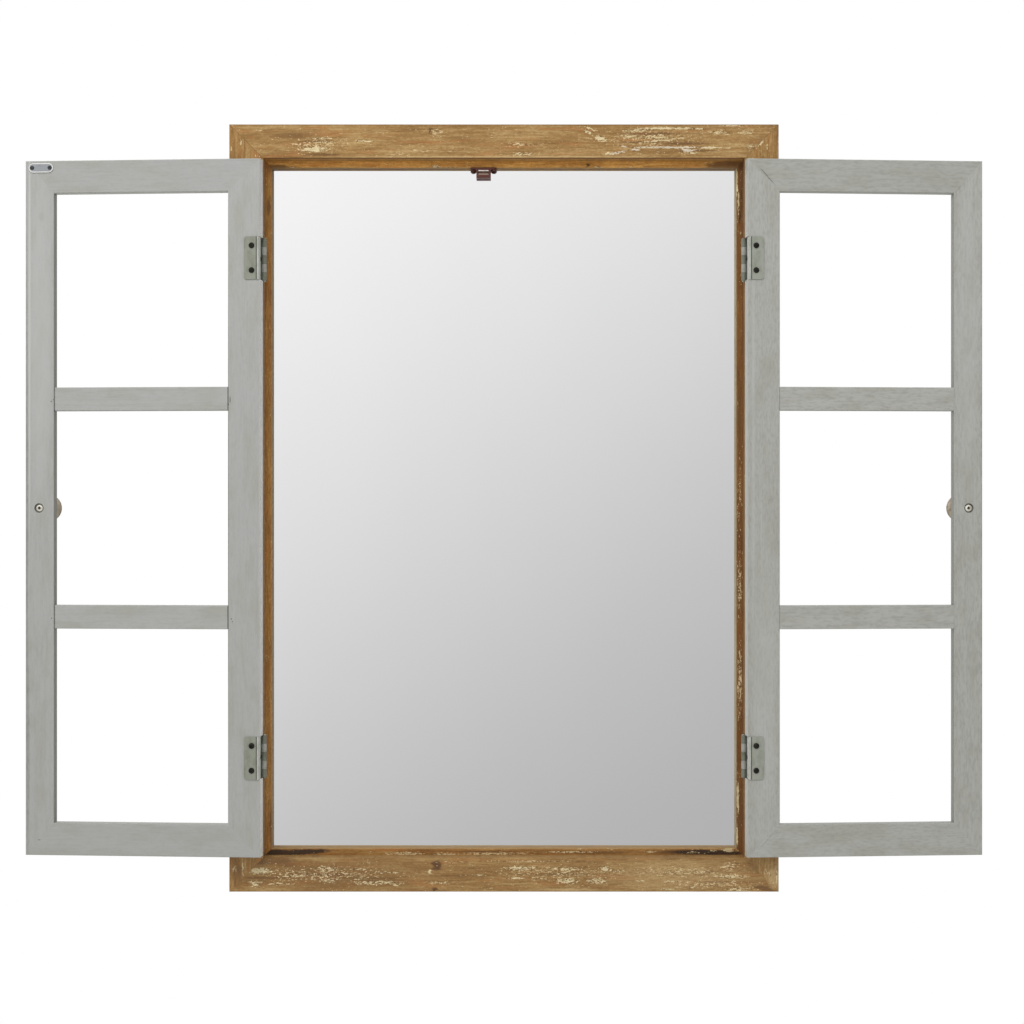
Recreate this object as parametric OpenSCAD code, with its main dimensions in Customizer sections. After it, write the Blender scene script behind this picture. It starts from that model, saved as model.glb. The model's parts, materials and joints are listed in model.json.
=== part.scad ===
// Wall mirror in a deep fir box frame, closed by two window-sash shutters.
// Origin: middle of the top rail's wall face. +X right, +Z up, the wall lies at
// y = 0 and the front looks towards -Y. All sizes are in millimetres.
// The shutters are drawn closed about their hinge pins and then swung open.

/* [Box frame] */
// Overall width of the box frame
frame_w = 610; // [480:1:760]
// Overall height of the box frame
frame_h = 852; // [700:1:1050]
// Face width of the frame stock
stock_w = 38; // [32:1:60]
// Eased edge of the frame stock
stock_ease = 1.2; // [0.4:0.1:3]
// Depth that the backing board lies below the wall face
back_recess = 2; // [1.4:0.1:6]

/* [Stop bead, glass and backing] */
// Height of the stop bead above the reveal
bead_w = 7; // [6.6:0.1:12]
// Depth of the stop bead, front to back
bead_t = 12; // [11:0.5:20]
// Rounding of the stop bead's front edge
bead_round = 1.5; // [0.5:0.1:3]
// Thickness of the mirror glass
glass_t = 3; // [2:0.5:6]
// Space round the edge of the glass
glass_gap = 2; // [0.5:0.5:4]
// Thickness of the backing board
backing_t = 3; // [2:0.5:6]
// Space round the edge of the backing board
backing_gap = 1.5; // [0.5:0.5:4]

/* [Shutters] */
// Thickness of the shutter stock
shutter_t = 16; // [13:0.5:22]
// Width of the stile that carries the hinges
hinge_stile_w = 36; // [30:1:55]
// Width of the stile that carries the knob
free_stile_w = 32; // [29:1:50]
// Width of the top and bottom rails
shutter_rail_w = 36; // [26:1:60]
// Width of the two glazing bars
muntin_w = 26; // [16:1:40]
// Eased edge of the shutter stock
shutter_ease = 1; // [0.3:0.1:2]
// Chamfer round the openings, on the shutter's outer face
pane_chamfer = 4.5; // [2.5:0.5:6]
// Closed shutter to the reveal, on the hinge side
side_gap = 1.5; // [1.2:0.1:2]
// Closed shutter to the reveal, above and below
end_gap = 3.5; // [1:0.5:8]
// Gap between the two closed shutters
middle_gap = 5; // [2:0.5:12]
// Closed shutter to the stop bead behind it
stop_gap = 2; // [1.7:0.1:4]

/* [Hinges] */
// Height of a hinge leaf
leaf_h = 47; // [40:1:70]
// Thickness of the leaf's sheet steel
leaf_t = 1.2; // [0.8:0.1:1.4]
// Outer radius of the rolled knuckles
knuckle_r = 3; // [2.6:0.1:3.6]
// Running gap between one knuckle and the next
knuckle_gap = 0.2; // [0.1:0.05:0.5]
// Running clearance round the pin
pin_clear = 0.05; // [0.02:0.01:0.1]
// Pin axis, inwards from the reveal
pin_in = 1; // [0.8:0.1:1.1]
// Width of the flap on the shutter's inner face
face_flap_w = 15.5; // [13:0.5:22]
// Width of the flap on the box frame's front
frame_flap_w = 18; // [16:0.5:26]
// Radius of a flap's free corners
flap_corner_r = 2.8; // [1:0.1:4]
// Middle of a hinge, in from the shutter's end
hinge_in = 109.5; // [80:0.5:150]
// Distance between the two screws of a flap
leaf_screw_pitch = 27.2; // [24:0.1:32]
// Screws of the shutter's flap, in from the bend
face_screw_in = 6.9; // [5:0.1:9]
// Screws of the frame's flap, out from the pin
frame_screw_out = 11; // [9:0.1:12]
// Screw in the shutter's edge, forward of its inner face
edge_screw_in = 10; // [7:0.1:10]

/* [Knobs] */
// Diameter of the knob's cap
knob_d = 30; // [24:1:36]
// How far the knob stands off the shutter
knob_l = 26; // [22:0.5:34]
// Diameter of the knob's neck
knob_neck_d = 11; // [9:0.5:16]
// Diameter of the knob's foot
knob_foot_d = 16; // [13:0.5:22]
// Knob's axis, in from the shutter's free edge
knob_in = 15.1; // [12:0.1:20]
// Diameter of the counterbore for the knob's screw
counterbore_d = 10.5; // [9:0.1:12]
// Depth of that counterbore
counterbore_t = 3.4; // [3:0.1:6]
// Knob's tip to the wall when the shutter lies open
wall_gap = 0.7; // [0.2:0.1:5]

/* [Magnetic catch] */
// Width of the catch's housing
catch_w = 16; // [14.5:0.5:24]
// Height of the catch's housing
catch_h = 11.2; // [10.5:0.1:15]
// Depth of the catch's housing
catch_t = 10.7; // [10:0.1:14]
// Length over the catch's two ears
ear_l = 29.7; // [28.5:0.1:40]
// Thickness of the ears
ear_t = 1.8; // [1.2:0.1:2.6]
// Width of the two pole plates
pole_w = 11.2; // [8:0.1:12]
// Thickness of a pole plate
pole_t = 1.2; // [0.8:0.1:1.5]
// Thickness of the magnet between the pole plates
magnet_t = 2.7; // [2:0.1:3.5]
// Pole plates to the closed strike plate
pole_gap = 0.5; // [0.3:0.1:1.2]
// Catch's middle, sideways from the strike plate's
catch_shift = -3; // [-4:0.5:4]
// Length of the strike plate
strike_l = 27.7; // [24:0.1:32]
// Width of the strike plate
strike_w = 10.5; // [8:0.1:12]
// Thickness of the strike plate
strike_t = 1; // [0.8:0.1:1.2]
// Strike plate's middle, in from the free edge
strike_in = 17.5; // [17:0.1:22]
// Strike plate's middle, down from the shutter's top
strike_down = 7.8; // [7:0.1:12]
// Distance between the strike plate's screws
strike_pitch = 19.8; // [17:0.1:22]

/* [Keyhole hangers] */
// Width of a keyhole hanger
hanger_w = 16; // [14:0.5:20]
// Height of a keyhole hanger
hanger_h = 44; // [42:1:60]
// Thickness of a keyhole hanger
hanger_t = 1.5; // [1:0.1:2.5]
// Radius of the keyhole's mouth
mouth_r = 4.6; // [4.2:0.1:5]
// Width of the keyhole's slot
slot_w = 4.8; // [4:0.1:5]
// Slot's end, above the mouth's middle
slot_rise = 9; // [8:0.5:10]
// Keyhole's mouth, down from the frame's top
hanger_down = 100; // [70:1:200]

/* [Hidden] */
$fn = 48;

// Colours
FIR = "#AF8C5F";
FIR_REVEAL = "#8A6238";
GREY_PAINT = "#ABACA8";
SILVERED_GLASS = "#D6D8DA";
HARDBOARD = "#7A5A3C";
ZINC = "#A9ACA8";
GREY_STEEL = "#91948A";
BLACK_STEEL = "#2A2A28";
BROWN_PLASTIC = "#5F3C37";
MAGNET_BLACK = "#3A3634";
BRIGHT_STEEL = "#C8C9C6";
BRONZE = "#91826F";
BEECH = "#C9A878";

// Fit round a part that is pressed, driven or screwed into wood
drive_fit = 0.05;
// Screw heads and tips, as shares of the head's or shank's own size
dome_share = 1.3;
cross_w = 0.28;
cross_l = 1.1;
cross_floor = 0.35;
flat_cross_t = 0.45;
tip_l = 2.4;
tip_r = 0.15;
// Cuts run this far past the faces that they open
past = 1;

// Frame: the layers from front to wall give its depth
stock_d = shutter_t + stop_gap + bead_t + glass_t + backing_t + back_recess;
open_w = frame_w - 2 * stock_w;
open_h = frame_h - 2 * stock_w;
front_y = -stock_d;
mid_z = stock_w / 2 - frame_h / 2;
bead_y = front_y + shutter_t + stop_gap;
glass_y = bead_y + bead_t;
backing_y = glass_y + glass_t;
backing_back_y = backing_y + backing_t;

// V-nails that draw the frame's mitres together from the wall side
nail_leg = 8;
nail_t = 0.6;
nail_depth = 10;
nail_sunk = 0.2;
nail_places = [0.32, 0.68];

// Flat glazing points that hold the backing board
point_w = 10;
point_t = 0.8;
point_over = 8;
point_into = 6;
point_shoulder = point_into / 3;
point_in = 110;

// Shutter, in its own axes: u from the pin to the free edge, v towards the
// wall from the pin, w up from mid-height
pin_x = open_w / 2 - pin_in;
pin_y = front_y - knuckle_r;
edge_u = side_gap - pin_in;
shutter_w = open_w / 2 - side_gap - middle_gap / 2;
shutter_h = open_h - 2 * end_gap;
free_u = edge_u + shutter_w;
outer_v = knuckle_r;
inner_v = outer_v + shutter_t;
stile_u = edge_u + hinge_stile_w;
free_stile_u = free_u - free_stile_w;
rail_w = shutter_h / 2 - shutter_rail_w;
pane_h = (2 * rail_w - 2 * muntin_w) / 3;
muntin_mid = (pane_h + muntin_w) / 2;
hinge_w = shutter_h / 2 - hinge_in;

// The shutter swings past square until the knob's tip is a wall gap off the wall
knob_u = free_u - knob_in;
knob_reach = knob_l - outer_v;
tip_radius = norm([knob_u, knob_reach]);
past_open = asin((stock_d + knuckle_r - wall_gap) / tip_radius) - atan2(knob_reach, knob_u);
open_angle = 180 + past_open;

// Hinge
eye_r = knuckle_r - leaf_t;
pin_r = eye_r - pin_clear;
knuckle_count = 5;
knuckle_l = (leaf_h - (knuckle_count - 1) * knuckle_gap) / knuckle_count;
knuckle_pitch = knuckle_l + knuckle_gap;
FRAME_KNUCKLES = [0, 2, 4];
DOOR_KNUCKLES = [1, 3];
roll_slit = 58;
swing_clear = 0.3;
mortise_gap = 0.3;
pin_head_t = 0.8;
pin_head_over = 0.9;
pin_head_draw = 0.2;
leaf_head_r = 3.2;
leaf_head_h = 1.5;
leaf_shank_r = 1.6;
leaf_screw_l = 12;
edge_head_r = 2.8;
edge_head_h = 1.1;

// Dowels in the mitres and at the ends of the glazing bars
dowel_r = 3;
dowel_l = 28;
dowel_gap = 1;

// Knob and its machine screw, which has a square socket
knob_foot_h = 1.2;
knob_neck_h = 6;
knob_dome_r = 24;
knob_rim_r = 2;
knob_edge = 0.8;
knob_flare = 2.4;
knob_steps = 8;
knob_screw_r = 1.95;
knob_head_r = 3.9;
knob_head_h = 2.6;
knob_socket_w = 2.8;
knob_socket_t = 1.7;
knob_hole_r = 2.25;
knob_screw_into = 11;
knob_bore_l = 13;

// Catch, strike plate and their screws
pole_proud = 0.3;
pole_lift = 0.2;
housing_wall = 1.2;
housing_lip = 1;
magnet_back = 1.5;
magnet_side = 0.5;
catch_front_y = bead_y - pole_gap + pole_proud;
catch_inner_y = catch_front_y + catch_t - housing_wall - drive_fit;
strike_back_v = inner_v + strike_t;
strike_face_y = pin_y + strike_back_v;
pole_front_y = strike_face_y + pole_gap;
catch_x = -pin_x + free_u - strike_in + catch_shift;
catch_top_z = mid_z + open_h / 2 - bead_w;
catch_mid_z = catch_top_z - catch_h / 2 + pole_lift;
ear_d = 8;
ear_corner_r = ear_d / 3;
ear_screw_shift = 0.1;
catch_screw_out = (ear_l + catch_w) / 4 + ear_screw_shift;
catch_screw_y = catch_front_y + ear_d / 2;
catch_screw_r = 1.4;
catch_head_r = 2.7;
catch_head_h = 2;
catch_screw_l = 5.5;
strike_u = free_u - strike_in;
strike_z = shutter_h / 2 - strike_down;
strike_rim = 1.2;
strike_dish = 0.25;
strike_head_r = 2.4;
strike_head_h = 0.5;
strike_screw_r = 1.1;
strike_screw_l = 5;

// Keyhole hangers
hanger_x = frame_w / 2 - stock_w / 2;
hanger_z = mid_z + frame_h / 2 - hanger_down;
hanger_corner_r = hanger_w / 4;
hanger_screw_out = 17;
hanger_head_r = 3;
hanger_shank_r = 1.5;
hanger_screw_l = 16;
pocket_r = 5.3;
pocket_t = 9;

// ---------------------------------------------------------------- helpers

// Rectangle with its four corners eased by r
module eased_rect(a0, b0, a1, b1, r) {
    translate([a0 + r, b0]) square([a1 - a0 - 2 * r, b1 - b0]);
    translate([a0, b0 + r]) square([a1 - a0, b1 - b0 - 2 * r]);
    for (a = [a0 + r, a1 - r], b = [b0 + r, b1 - r])
        translate([a, b]) circle(r);
}

// Stick along Z with eased edges
module stick_z(x, y, z, r)
    translate([0, 0, z[0]]) linear_extrude(z[1] - z[0])
        eased_rect(x[0], y[0], x[1], y[1], r);

// Stick along X with eased edges
module stick_x(x, y, z, r)
    translate([x[0], 0, 0]) rotate([90, 0, 90]) linear_extrude(x[1] - x[0])
        eased_rect(y[0], z[0], y[1], z[1], r);

// Flat shape drawn in X and Z, from y[0] to y[1]
module slab(y)
    translate([0, y[1], 0]) rotate([90, 0, 0]) linear_extrude(y[1] - y[0]) children();

// Four-sided outline of a mitred stile: outer edge at a, inner edge at b
module stile_outline(a, b, half, half_in)
    polygon([[a, -half], [a, half], [b, half_in], [b, -half_in]]);

// Domed screw head, seated on z = 0 and facing +Z
module domed_head(r, h) {
    dome_r = (r * r + h * h) / h / dome_share;
    rotate_extrude() intersection() {
        square([r, h]);
        translate([0, h - dome_r]) circle(dome_r);
    }
}

// That head with a cross recess
module cross_head(r, h)
    difference() {
        domed_head(r, h);
        for (turn = [0, 90])
            rotate(turn) translate([-cross_l * r / 2, -cross_w * r / 2, cross_floor * h])
                cube([cross_l * r, cross_w * r, h]);
    }

// Pointed wood screw shank, down from z = 0
module wood_shank(r, l) {
    tip = tip_l * r;
    translate([0, 0, tip - l]) cylinder(h = l - tip, r = r);
    translate([0, 0, -l]) cylinder(h = tip, r1 = tip_r * r, r2 = r);
}

module wood_screw(head_r, head_h, shank_r, l) {
    cross_head(head_r, head_h);
    wood_shank(shank_r, l);
}

// Pilot hole for that screw, open at z = 0
module pilot(shank_r, l)
    translate([0, 0, -l - drive_fit]) cylinder(h = l + drive_fit + past, r = shank_r + drive_fit);

// Countersunk screw with its flat face at z = 0 and its cone going down
module flat_screw(head_r, shank_r, l) {
    cone = head_r - shank_r;
    difference() {
        union() {
            translate([0, 0, -cone]) cylinder(h = cone, r1 = shank_r, r2 = head_r);
            wood_shank(shank_r, l);
        }
        for (turn = [0, 90])
            rotate(turn)
                translate([-head_r / 2, -cross_w * head_r / 2, -flat_cross_t * cone])
                    cube([head_r, cross_w * head_r, cone]);
    }
}

// Seat for that screw: the cone and the hole below it
module flat_seat(head_r, shank_r, l) {
    cone = head_r - shank_r;
    translate([0, 0, -cone])
        cylinder(h = cone + past, r1 = shank_r + drive_fit, r2 = head_r + drive_fit + past);
    pilot(shank_r, l);
}

// ---------------------------------------------------------------- box frame

// L-shaped V-nail legs in every mitre; fit widens them into their slots
module v_nails(fit) {
    reach = nail_leg + fit;
    half_t = nail_t / 2 + fit;
    for (sx = [-1, 1], sz = [-1, 1], place = nail_places)
        translate([sx * (open_w / 2 + place * stock_w), 0,
                   mid_z + sz * (open_h / 2 + place * stock_w)])
            slab([-nail_depth - fit, fit > 0 ? past : -nail_sunk]) {
                translate([sx > 0 ? -half_t : -reach, -half_t])
                    square([reach + half_t, 2 * half_t]);
                translate([-half_t, sz > 0 ? -half_t : -reach])
                    square([2 * half_t, reach + half_t]);
            }
}

// One glazing point: its tang runs into the wood along +Z from z = 0
module glazing_point(fit)
    slab([backing_back_y - fit, backing_back_y + point_t + fit])
        polygon([
            [-point_w / 2 - fit, -point_over], [point_w / 2 + fit, -point_over],
            [point_w / 2 + fit, point_shoulder], [fit, point_into + fit],
            [-fit, point_into + fit], [-point_w / 2 - fit, point_shoulder]
        ]);

module glazing_point_set(fit) {
    for (s = [-1, 1], x = [-1, 1])
        translate([x * (open_w / 2 - point_in), 0, mid_z + s * open_h / 2])
            rotate([0, s > 0 ? 0 : 180, 0]) glazing_point(fit);
    for (s = [-1, 1], z = [-1, 0, 1])
        translate([s * open_w / 2, 0, mid_z + z * (open_h / 2 - point_in)])
            rotate([0, s * 90, 0]) glazing_point(fit);
}

// Top rail (s = 1) or bottom rail (s = -1), mitred at both ends
module frame_rail(s) {
    z = s > 0 ? [open_h / 2, frame_h / 2] : [-frame_h / 2, -open_h / 2];
    difference() {
        translate([0, 0, mid_z]) intersection() {
            stick_x([-frame_w / 2, frame_w / 2], [front_y, 0], z, stock_ease);
            slab([front_y - past, past])
                polygon([
                    [-frame_w / 2, s * frame_h / 2], [frame_w / 2, s * frame_h / 2],
                    [open_w / 2, s * open_h / 2], [-open_w / 2, s * open_h / 2]
                ]);
        }
        v_nails(drive_fit);
        glazing_point_set(drive_fit);
    }
}

// Left stile (s = -1) or right stile (s = 1), mitred at both ends
module frame_stile(s) {
    x = s > 0 ? [open_w / 2, frame_w / 2] : [-frame_w / 2, -open_w / 2];
    difference() {
        translate([0, 0, mid_z]) intersection() {
            stick_z(x, [front_y, 0], [-frame_h / 2, frame_h / 2], stock_ease);
            slab([front_y - past, past])
                stile_outline(s * frame_w / 2, s * open_w / 2, frame_h / 2, open_h / 2);
        }
        v_nails(drive_fit);
        glazing_point_set(drive_fit);
        translate([s * hanger_x, 0, hanger_z]) hanger_seat();
        for (t = [-1, 1])
            frame_side(s) translate([0, 0, t * hinge_w]) at_frame_screws()
                pilot(leaf_shank_r, leaf_screw_l);
    }
}

module frame_top_rail() color(FIR) frame_rail(1);
module frame_bottom_rail() color(FIR) frame_rail(-1);
module frame_left_stile() color(FIR) frame_stile(-1);
module frame_right_stile() color(FIR) frame_stile(1);
module frame_corner_nails() color(ZINC) v_nails(0);
module glazing_points() color(ZINC) glazing_point_set(0);

// Stop bead along X, z up to the reveal; its lower front edge is rounded
module bead_x(half)
    translate([-half, 0, 0]) rotate([90, 0, 90]) linear_extrude(2 * half) difference() {
        translate([bead_y, -bead_w]) square([bead_t, bead_w]);
        translate([bead_y, -bead_w]) difference() {
            translate([-past, -past]) square(bead_round + past);
            translate([bead_round, bead_round]) circle(bead_round);
        }
    }

// Stop bead on the upper reveal of an opening w wide and h high
module mitred_bead(w, h)
    intersection() {
        translate([0, 0, h / 2]) bead_x(w / 2);
        slab([bead_y - past, glass_y + past])
            polygon([
                [-w / 2, h / 2], [w / 2, h / 2],
                [w / 2 - bead_w, h / 2 - bead_w], [bead_w - w / 2, h / 2 - bead_w]
            ]);
    }

module catch_screw_places()
    for (s = [-1, 1])
        translate([catch_x + s * catch_screw_out, catch_screw_y, catch_top_z - ear_t])
            rotate([180, 0, 0]) children();

module stop_bead_top() color(FIR_REVEAL) difference() {
    translate([0, 0, mid_z]) mitred_bead(open_w, open_h);
    catch_screw_places() pilot(catch_screw_r, catch_screw_l + ear_t);
}
module stop_bead_bottom() color(FIR_REVEAL)
    translate([0, 0, mid_z]) mirror([0, 0, 1]) mitred_bead(open_w, open_h);
module stop_bead_left() color(FIR_REVEAL)
    translate([0, 0, mid_z]) rotate([0, -90, 0]) mitred_bead(open_h, open_w);
module stop_bead_right() color(FIR_REVEAL)
    translate([0, 0, mid_z]) rotate([0, 90, 0]) mitred_bead(open_h, open_w);

module sheet_in_opening(gap, y)
    translate([0, 0, mid_z]) slab(y)
        square([open_w - 2 * gap, open_h - 2 * gap], center = true);

module mirror_glass() color(SILVERED_GLASS)
    sheet_in_opening(glass_gap, [glass_y, backing_y]);
module backing_board() color(HARDBOARD)
    sheet_in_opening(backing_gap, [backing_y, backing_back_y]);

// ---------------------------------------------------------------- hangers

// Keyhole: a round mouth and a slot that rises from it
module keyhole(r, w, rise) {
    circle(r);
    translate([-w / 2, 0]) square([w, rise]);
    translate([0, rise]) circle(w / 2);
}

module hanger_screw_places()
    for (z = [-hanger_screw_out, hanger_screw_out])
        translate([0, 0, z]) rotate([-90, 0, 0]) children();

module hanger()
    difference() {
        slab([-hanger_t, 0]) eased_rect(-hanger_w / 2, -hanger_h / 2, hanger_w / 2,
                                        hanger_h / 2, hanger_corner_r);
        slab([-hanger_t - past, past]) keyhole(mouth_r, slot_w, slot_rise);
        hanger_screw_places() flat_seat(hanger_head_r, hanger_shank_r, hanger_t + past);
    }

// Recess for the plate, a pocket for the wall screw's head and two pilot holes
module hanger_seat() {
    slab([-hanger_t, past])
        eased_rect(-hanger_w / 2 - drive_fit, -hanger_h / 2 - drive_fit,
                   hanger_w / 2 + drive_fit, hanger_h / 2 + drive_fit, hanger_corner_r);
    slab([-pocket_t - hanger_t, past]) keyhole(pocket_r, 2 * pocket_r, slot_rise);
    hanger_screw_places() flat_seat(hanger_head_r, hanger_shank_r, hanger_screw_l);
}

module hanger_left() color(ZINC) translate([-hanger_x, 0, hanger_z]) hanger();
module hanger_right() color(ZINC) translate([hanger_x, 0, hanger_z]) hanger();
module hanger_screws() color(ZINC)
    for (s = [-1, 1])
        translate([s * hanger_x, 0, hanger_z]) hanger_screw_places()
            flat_screw(hanger_head_r, hanger_shank_r, hanger_screw_l);

// ---------------------------------------------------------------- hinges

// Where a hinge's own axes stand on the box frame; s = -1 left, 1 right
module frame_side(s)
    mirror([s > 0 ? 1 : 0, 0, 0]) translate([-pin_x, pin_y, mid_z]) children();

// Section of a rolled leaf: the sheet leaves the eye along +v on its +u side
module rolled_eye()
    difference() {
        circle(knuckle_r);
        circle(eye_r);
        polygon([
            [0, 0], [2 * knuckle_r, 0], [2 * knuckle_r, 2 * knuckle_r],
            2 * knuckle_r * [cos(roll_slit), sin(roll_slit)]
        ]);
    }

// Heights of the knuckles in list, each made longer by grow at both ends
module at_knuckles(list, grow = 0)
    for (k = list)
        translate([0, 0, -leaf_h / 2 + k * knuckle_pitch - grow])
            linear_extrude(knuckle_l + 2 * grow) children();

// Flat flap in u and w: square at the pin side, free corners rounded
module flap_outline(l) {
    r = flap_corner_r;
    translate([0, -leaf_h / 2]) square([l - r, leaf_h]);
    translate([0, r - leaf_h / 2]) square([l, leaf_h - 2 * r]);
    for (w = [-1, 1])
        translate([l - r, w * (leaf_h / 2 - r)]) circle(r);
}

module at_face_screws()
    for (w = [-1, 1])
        translate([knuckle_r + face_screw_in, inner_v + leaf_t, w * leaf_screw_pitch / 2])
            rotate([-90, 0, 0]) children();

module at_edge_screw()
    translate([eye_r, inner_v - edge_screw_in, 0]) rotate([0, -90, 0]) children();

module at_frame_screws()
    for (w = [-1, 1])
        translate([-frame_screw_out, eye_r, w * leaf_screw_pitch / 2])
            rotate([90, 0, 0]) children();

// Leaf that wraps the shutter's edge: eye, edge flap, bend and face flap
module door_leaf()
    difference() {
        union() {
            at_knuckles(DOOR_KNUCKLES) rolled_eye();
            translate([eye_r, 0, -leaf_h / 2]) cube([leaf_t, inner_v, leaf_h]);
            translate([knuckle_r, inner_v, -leaf_h / 2]) intersection() {
                cylinder(h = leaf_h, r = leaf_t);
                translate([-leaf_t, 0, 0]) cube([leaf_t, leaf_t, leaf_h]);
            }
            translate([knuckle_r, 0, 0]) slab([inner_v, inner_v + leaf_t])
                flap_outline(face_flap_w);
        }
        at_knuckles(FRAME_KNUCKLES, knuckle_gap)
            translate([0, -past]) square([2 * knuckle_r, knuckle_r + swing_clear + past]);
        at_face_screws() pilot(leaf_shank_r, leaf_t + past);
        at_edge_screw() pilot(leaf_shank_r, leaf_t + past);
    }

// Leaf that lies on the box frame's front
module frame_leaf()
    difference() {
        union() {
            at_knuckles(FRAME_KNUCKLES) rotate(90) rolled_eye();
            rotate([0, 180, 0]) slab([eye_r, knuckle_r]) flap_outline(frame_flap_w);
        }
        at_knuckles(DOOR_KNUCKLES, knuckle_gap)
            translate([-knuckle_r - swing_clear, 0])
                square([knuckle_r + swing_clear + past, 2 * knuckle_r]);
        at_frame_screws() pilot(leaf_shank_r, leaf_t + past);
    }

// Pin with its two ends peened over the outer knuckles
module hinge_pin() {
    cylinder(h = leaf_h, r = pin_r, center = true);
    for (flip = [0, 180])
        rotate([flip, 0, 0]) translate([0, 0, leaf_h / 2])
            cylinder(h = pin_head_t, r1 = pin_r + pin_head_over, r2 = pin_r - pin_head_draw);
}

module placed_on_frame(s, t) frame_side(s) translate([0, 0, t * hinge_w]) children();

module left_upper_frame_leaf() color(GREY_STEEL) placed_on_frame(-1, 1) frame_leaf();
module left_lower_frame_leaf() color(GREY_STEEL) placed_on_frame(-1, -1) frame_leaf();
module right_upper_frame_leaf() color(GREY_STEEL) placed_on_frame(1, 1) frame_leaf();
module right_lower_frame_leaf() color(GREY_STEEL) placed_on_frame(1, -1) frame_leaf();
module left_upper_hinge_pin() color(ZINC) placed_on_frame(-1, 1) hinge_pin();
module left_lower_hinge_pin() color(ZINC) placed_on_frame(-1, -1) hinge_pin();
module right_upper_hinge_pin() color(ZINC) placed_on_frame(1, 1) hinge_pin();
module right_lower_hinge_pin() color(ZINC) placed_on_frame(1, -1) hinge_pin();
module frame_leaf_screws() color(BLACK_STEEL)
    for (s = [-1, 1], t = [-1, 1])
        placed_on_frame(s, t) at_frame_screws()
            wood_screw(leaf_head_r, leaf_head_h, leaf_shank_r, leaf_screw_l);

// ---------------------------------------------------------------- catch

module catch_housing() color(BROWN_PLASTIC)
    translate([catch_x, 0, catch_top_z]) difference() {
        union() {
            translate([-catch_w / 2, catch_front_y, -catch_h]) cube([catch_w, catch_t, catch_h]);
            translate([0, catch_front_y + ear_d / 2, -ear_t]) linear_extrude(ear_t)
                eased_rect(-ear_l / 2, -ear_d / 2, ear_l / 2, ear_d / 2, ear_corner_r);
        }
        // Front opening for the pole plates and the magnet
        translate([0, 0, catch_mid_z - catch_top_z]) rotate([90, 0, 0])
            translate([0, 0, -catch_front_y - catch_t + housing_wall])
                linear_extrude(catch_t)
                    square([pole_w + 2 * drive_fit,
                            magnet_t + 2 * pole_t + 2 * drive_fit], center = true);
        // Chamfered lower front lip
        translate([-catch_w / 2 - past, catch_front_y, -catch_h]) rotate([45, 0, 0])
            translate([0, -housing_lip, -housing_lip])
                cube([catch_w + 2 * past, 2 * housing_lip, 2 * housing_lip]);
        translate([-catch_x, 0, -catch_top_z]) catch_screw_places()
            pilot(catch_screw_r, ear_t + past);
    }

module catch_block(w, t, y)
    translate([catch_x - w / 2, y[0], -t / 2]) cube([w, y[1] - y[0], t]);

module catch_magnet() color(MAGNET_BLACK)
    translate([0, 0, catch_mid_z])
        catch_block(pole_w - 2 * magnet_side, magnet_t,
                    [pole_front_y + magnet_back, catch_inner_y]);

module catch_pole_plates() color(BRIGHT_STEEL)
    for (s = [-1, 1])
        translate([0, 0, catch_mid_z + s * (magnet_t + pole_t) / 2])
            catch_block(pole_w, pole_t, [pole_front_y, catch_inner_y]);

module catch_screws() color(BROWN_PLASTIC)
    catch_screw_places()
        wood_screw(catch_head_r, catch_head_h, catch_screw_r, catch_screw_l + ear_t);

// ---------------------------------------------------------------- shutters

// A shutter piece drawn closed on the left, swung to where it rests open
module left_shutter()
    translate([-pin_x, pin_y, mid_z]) rotate([0, 0, -open_angle]) children();
module right_shutter() mirror([1, 0, 0]) left_shutter() children();

module at_hinges()
    for (t = [-1, 1]) translate([0, 0, t * hinge_w]) children();

// Dowels across the four mitres and at both ends of each glazing bar
module dowel_set(fit) {
    r = dowel_r + fit;
    l = dowel_l + (fit > 0 ? dowel_gap : 0);
    v = (outer_v + inner_v) / 2;
    for (t = [-1, 1]) {
        translate([(edge_u + stile_u) / 2, v, t * (rail_w + shutter_rail_w / 2)])
            rotate([0, t * atan2(hinge_stile_w, -shutter_rail_w), 0])
                cylinder(h = l, r = r, center = true);
        translate([(free_u + free_stile_u) / 2, v, t * (rail_w + shutter_rail_w / 2)])
            rotate([0, t * atan2(free_stile_w, shutter_rail_w), 0])
                cylinder(h = l, r = r, center = true);
        for (u = [stile_u, free_stile_u])
            translate([u, v, t * muntin_mid]) rotate([0, 90, 0])
                cylinder(h = l, r = r, center = true);
    }
}

// Hole through the free stile for the knob's screw, with its counterbore
module knob_bore()
    translate([knob_u, outer_v - past, 0]) rotate([-90, 0, 0]) {
        cylinder(h = shutter_t + 2 * past, r = knob_hole_r);
        translate([0, 0, shutter_t + past - counterbore_t])
            cylinder(h = counterbore_t + past, r = counterbore_d / 2);
    }

module strike_screw_places()
    for (s = [-1, 1])
        translate([strike_u + s * strike_pitch / 2, strike_back_v - strike_dish, strike_z])
            rotate([-90, 0, 0]) children();

// Wedge that chamfers the outer arris of a stick with its opening on the +u side
module arris_wedge(l)
    linear_extrude(l, center = true)
        polygon([[-pane_chamfer - past, -past], [past, -past],
                 [past, pane_chamfer + past]]);

module stile_wedge(s)
    translate([s > 0 ? stile_u : free_stile_u, outer_v, 0])
        mirror([s > 0 ? 0 : 1, 0, 0]) arris_wedge(shutter_h + 2 * past);

// The same along u at height w, with the opening above (s = -1) or below it (s = 1)
module rail_wedge(w, s)
    translate([edge_u + shutter_w / 2, outer_v, w]) rotate([0, s * 90, 0])
        arris_wedge(shutter_w + 2 * past);

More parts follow.
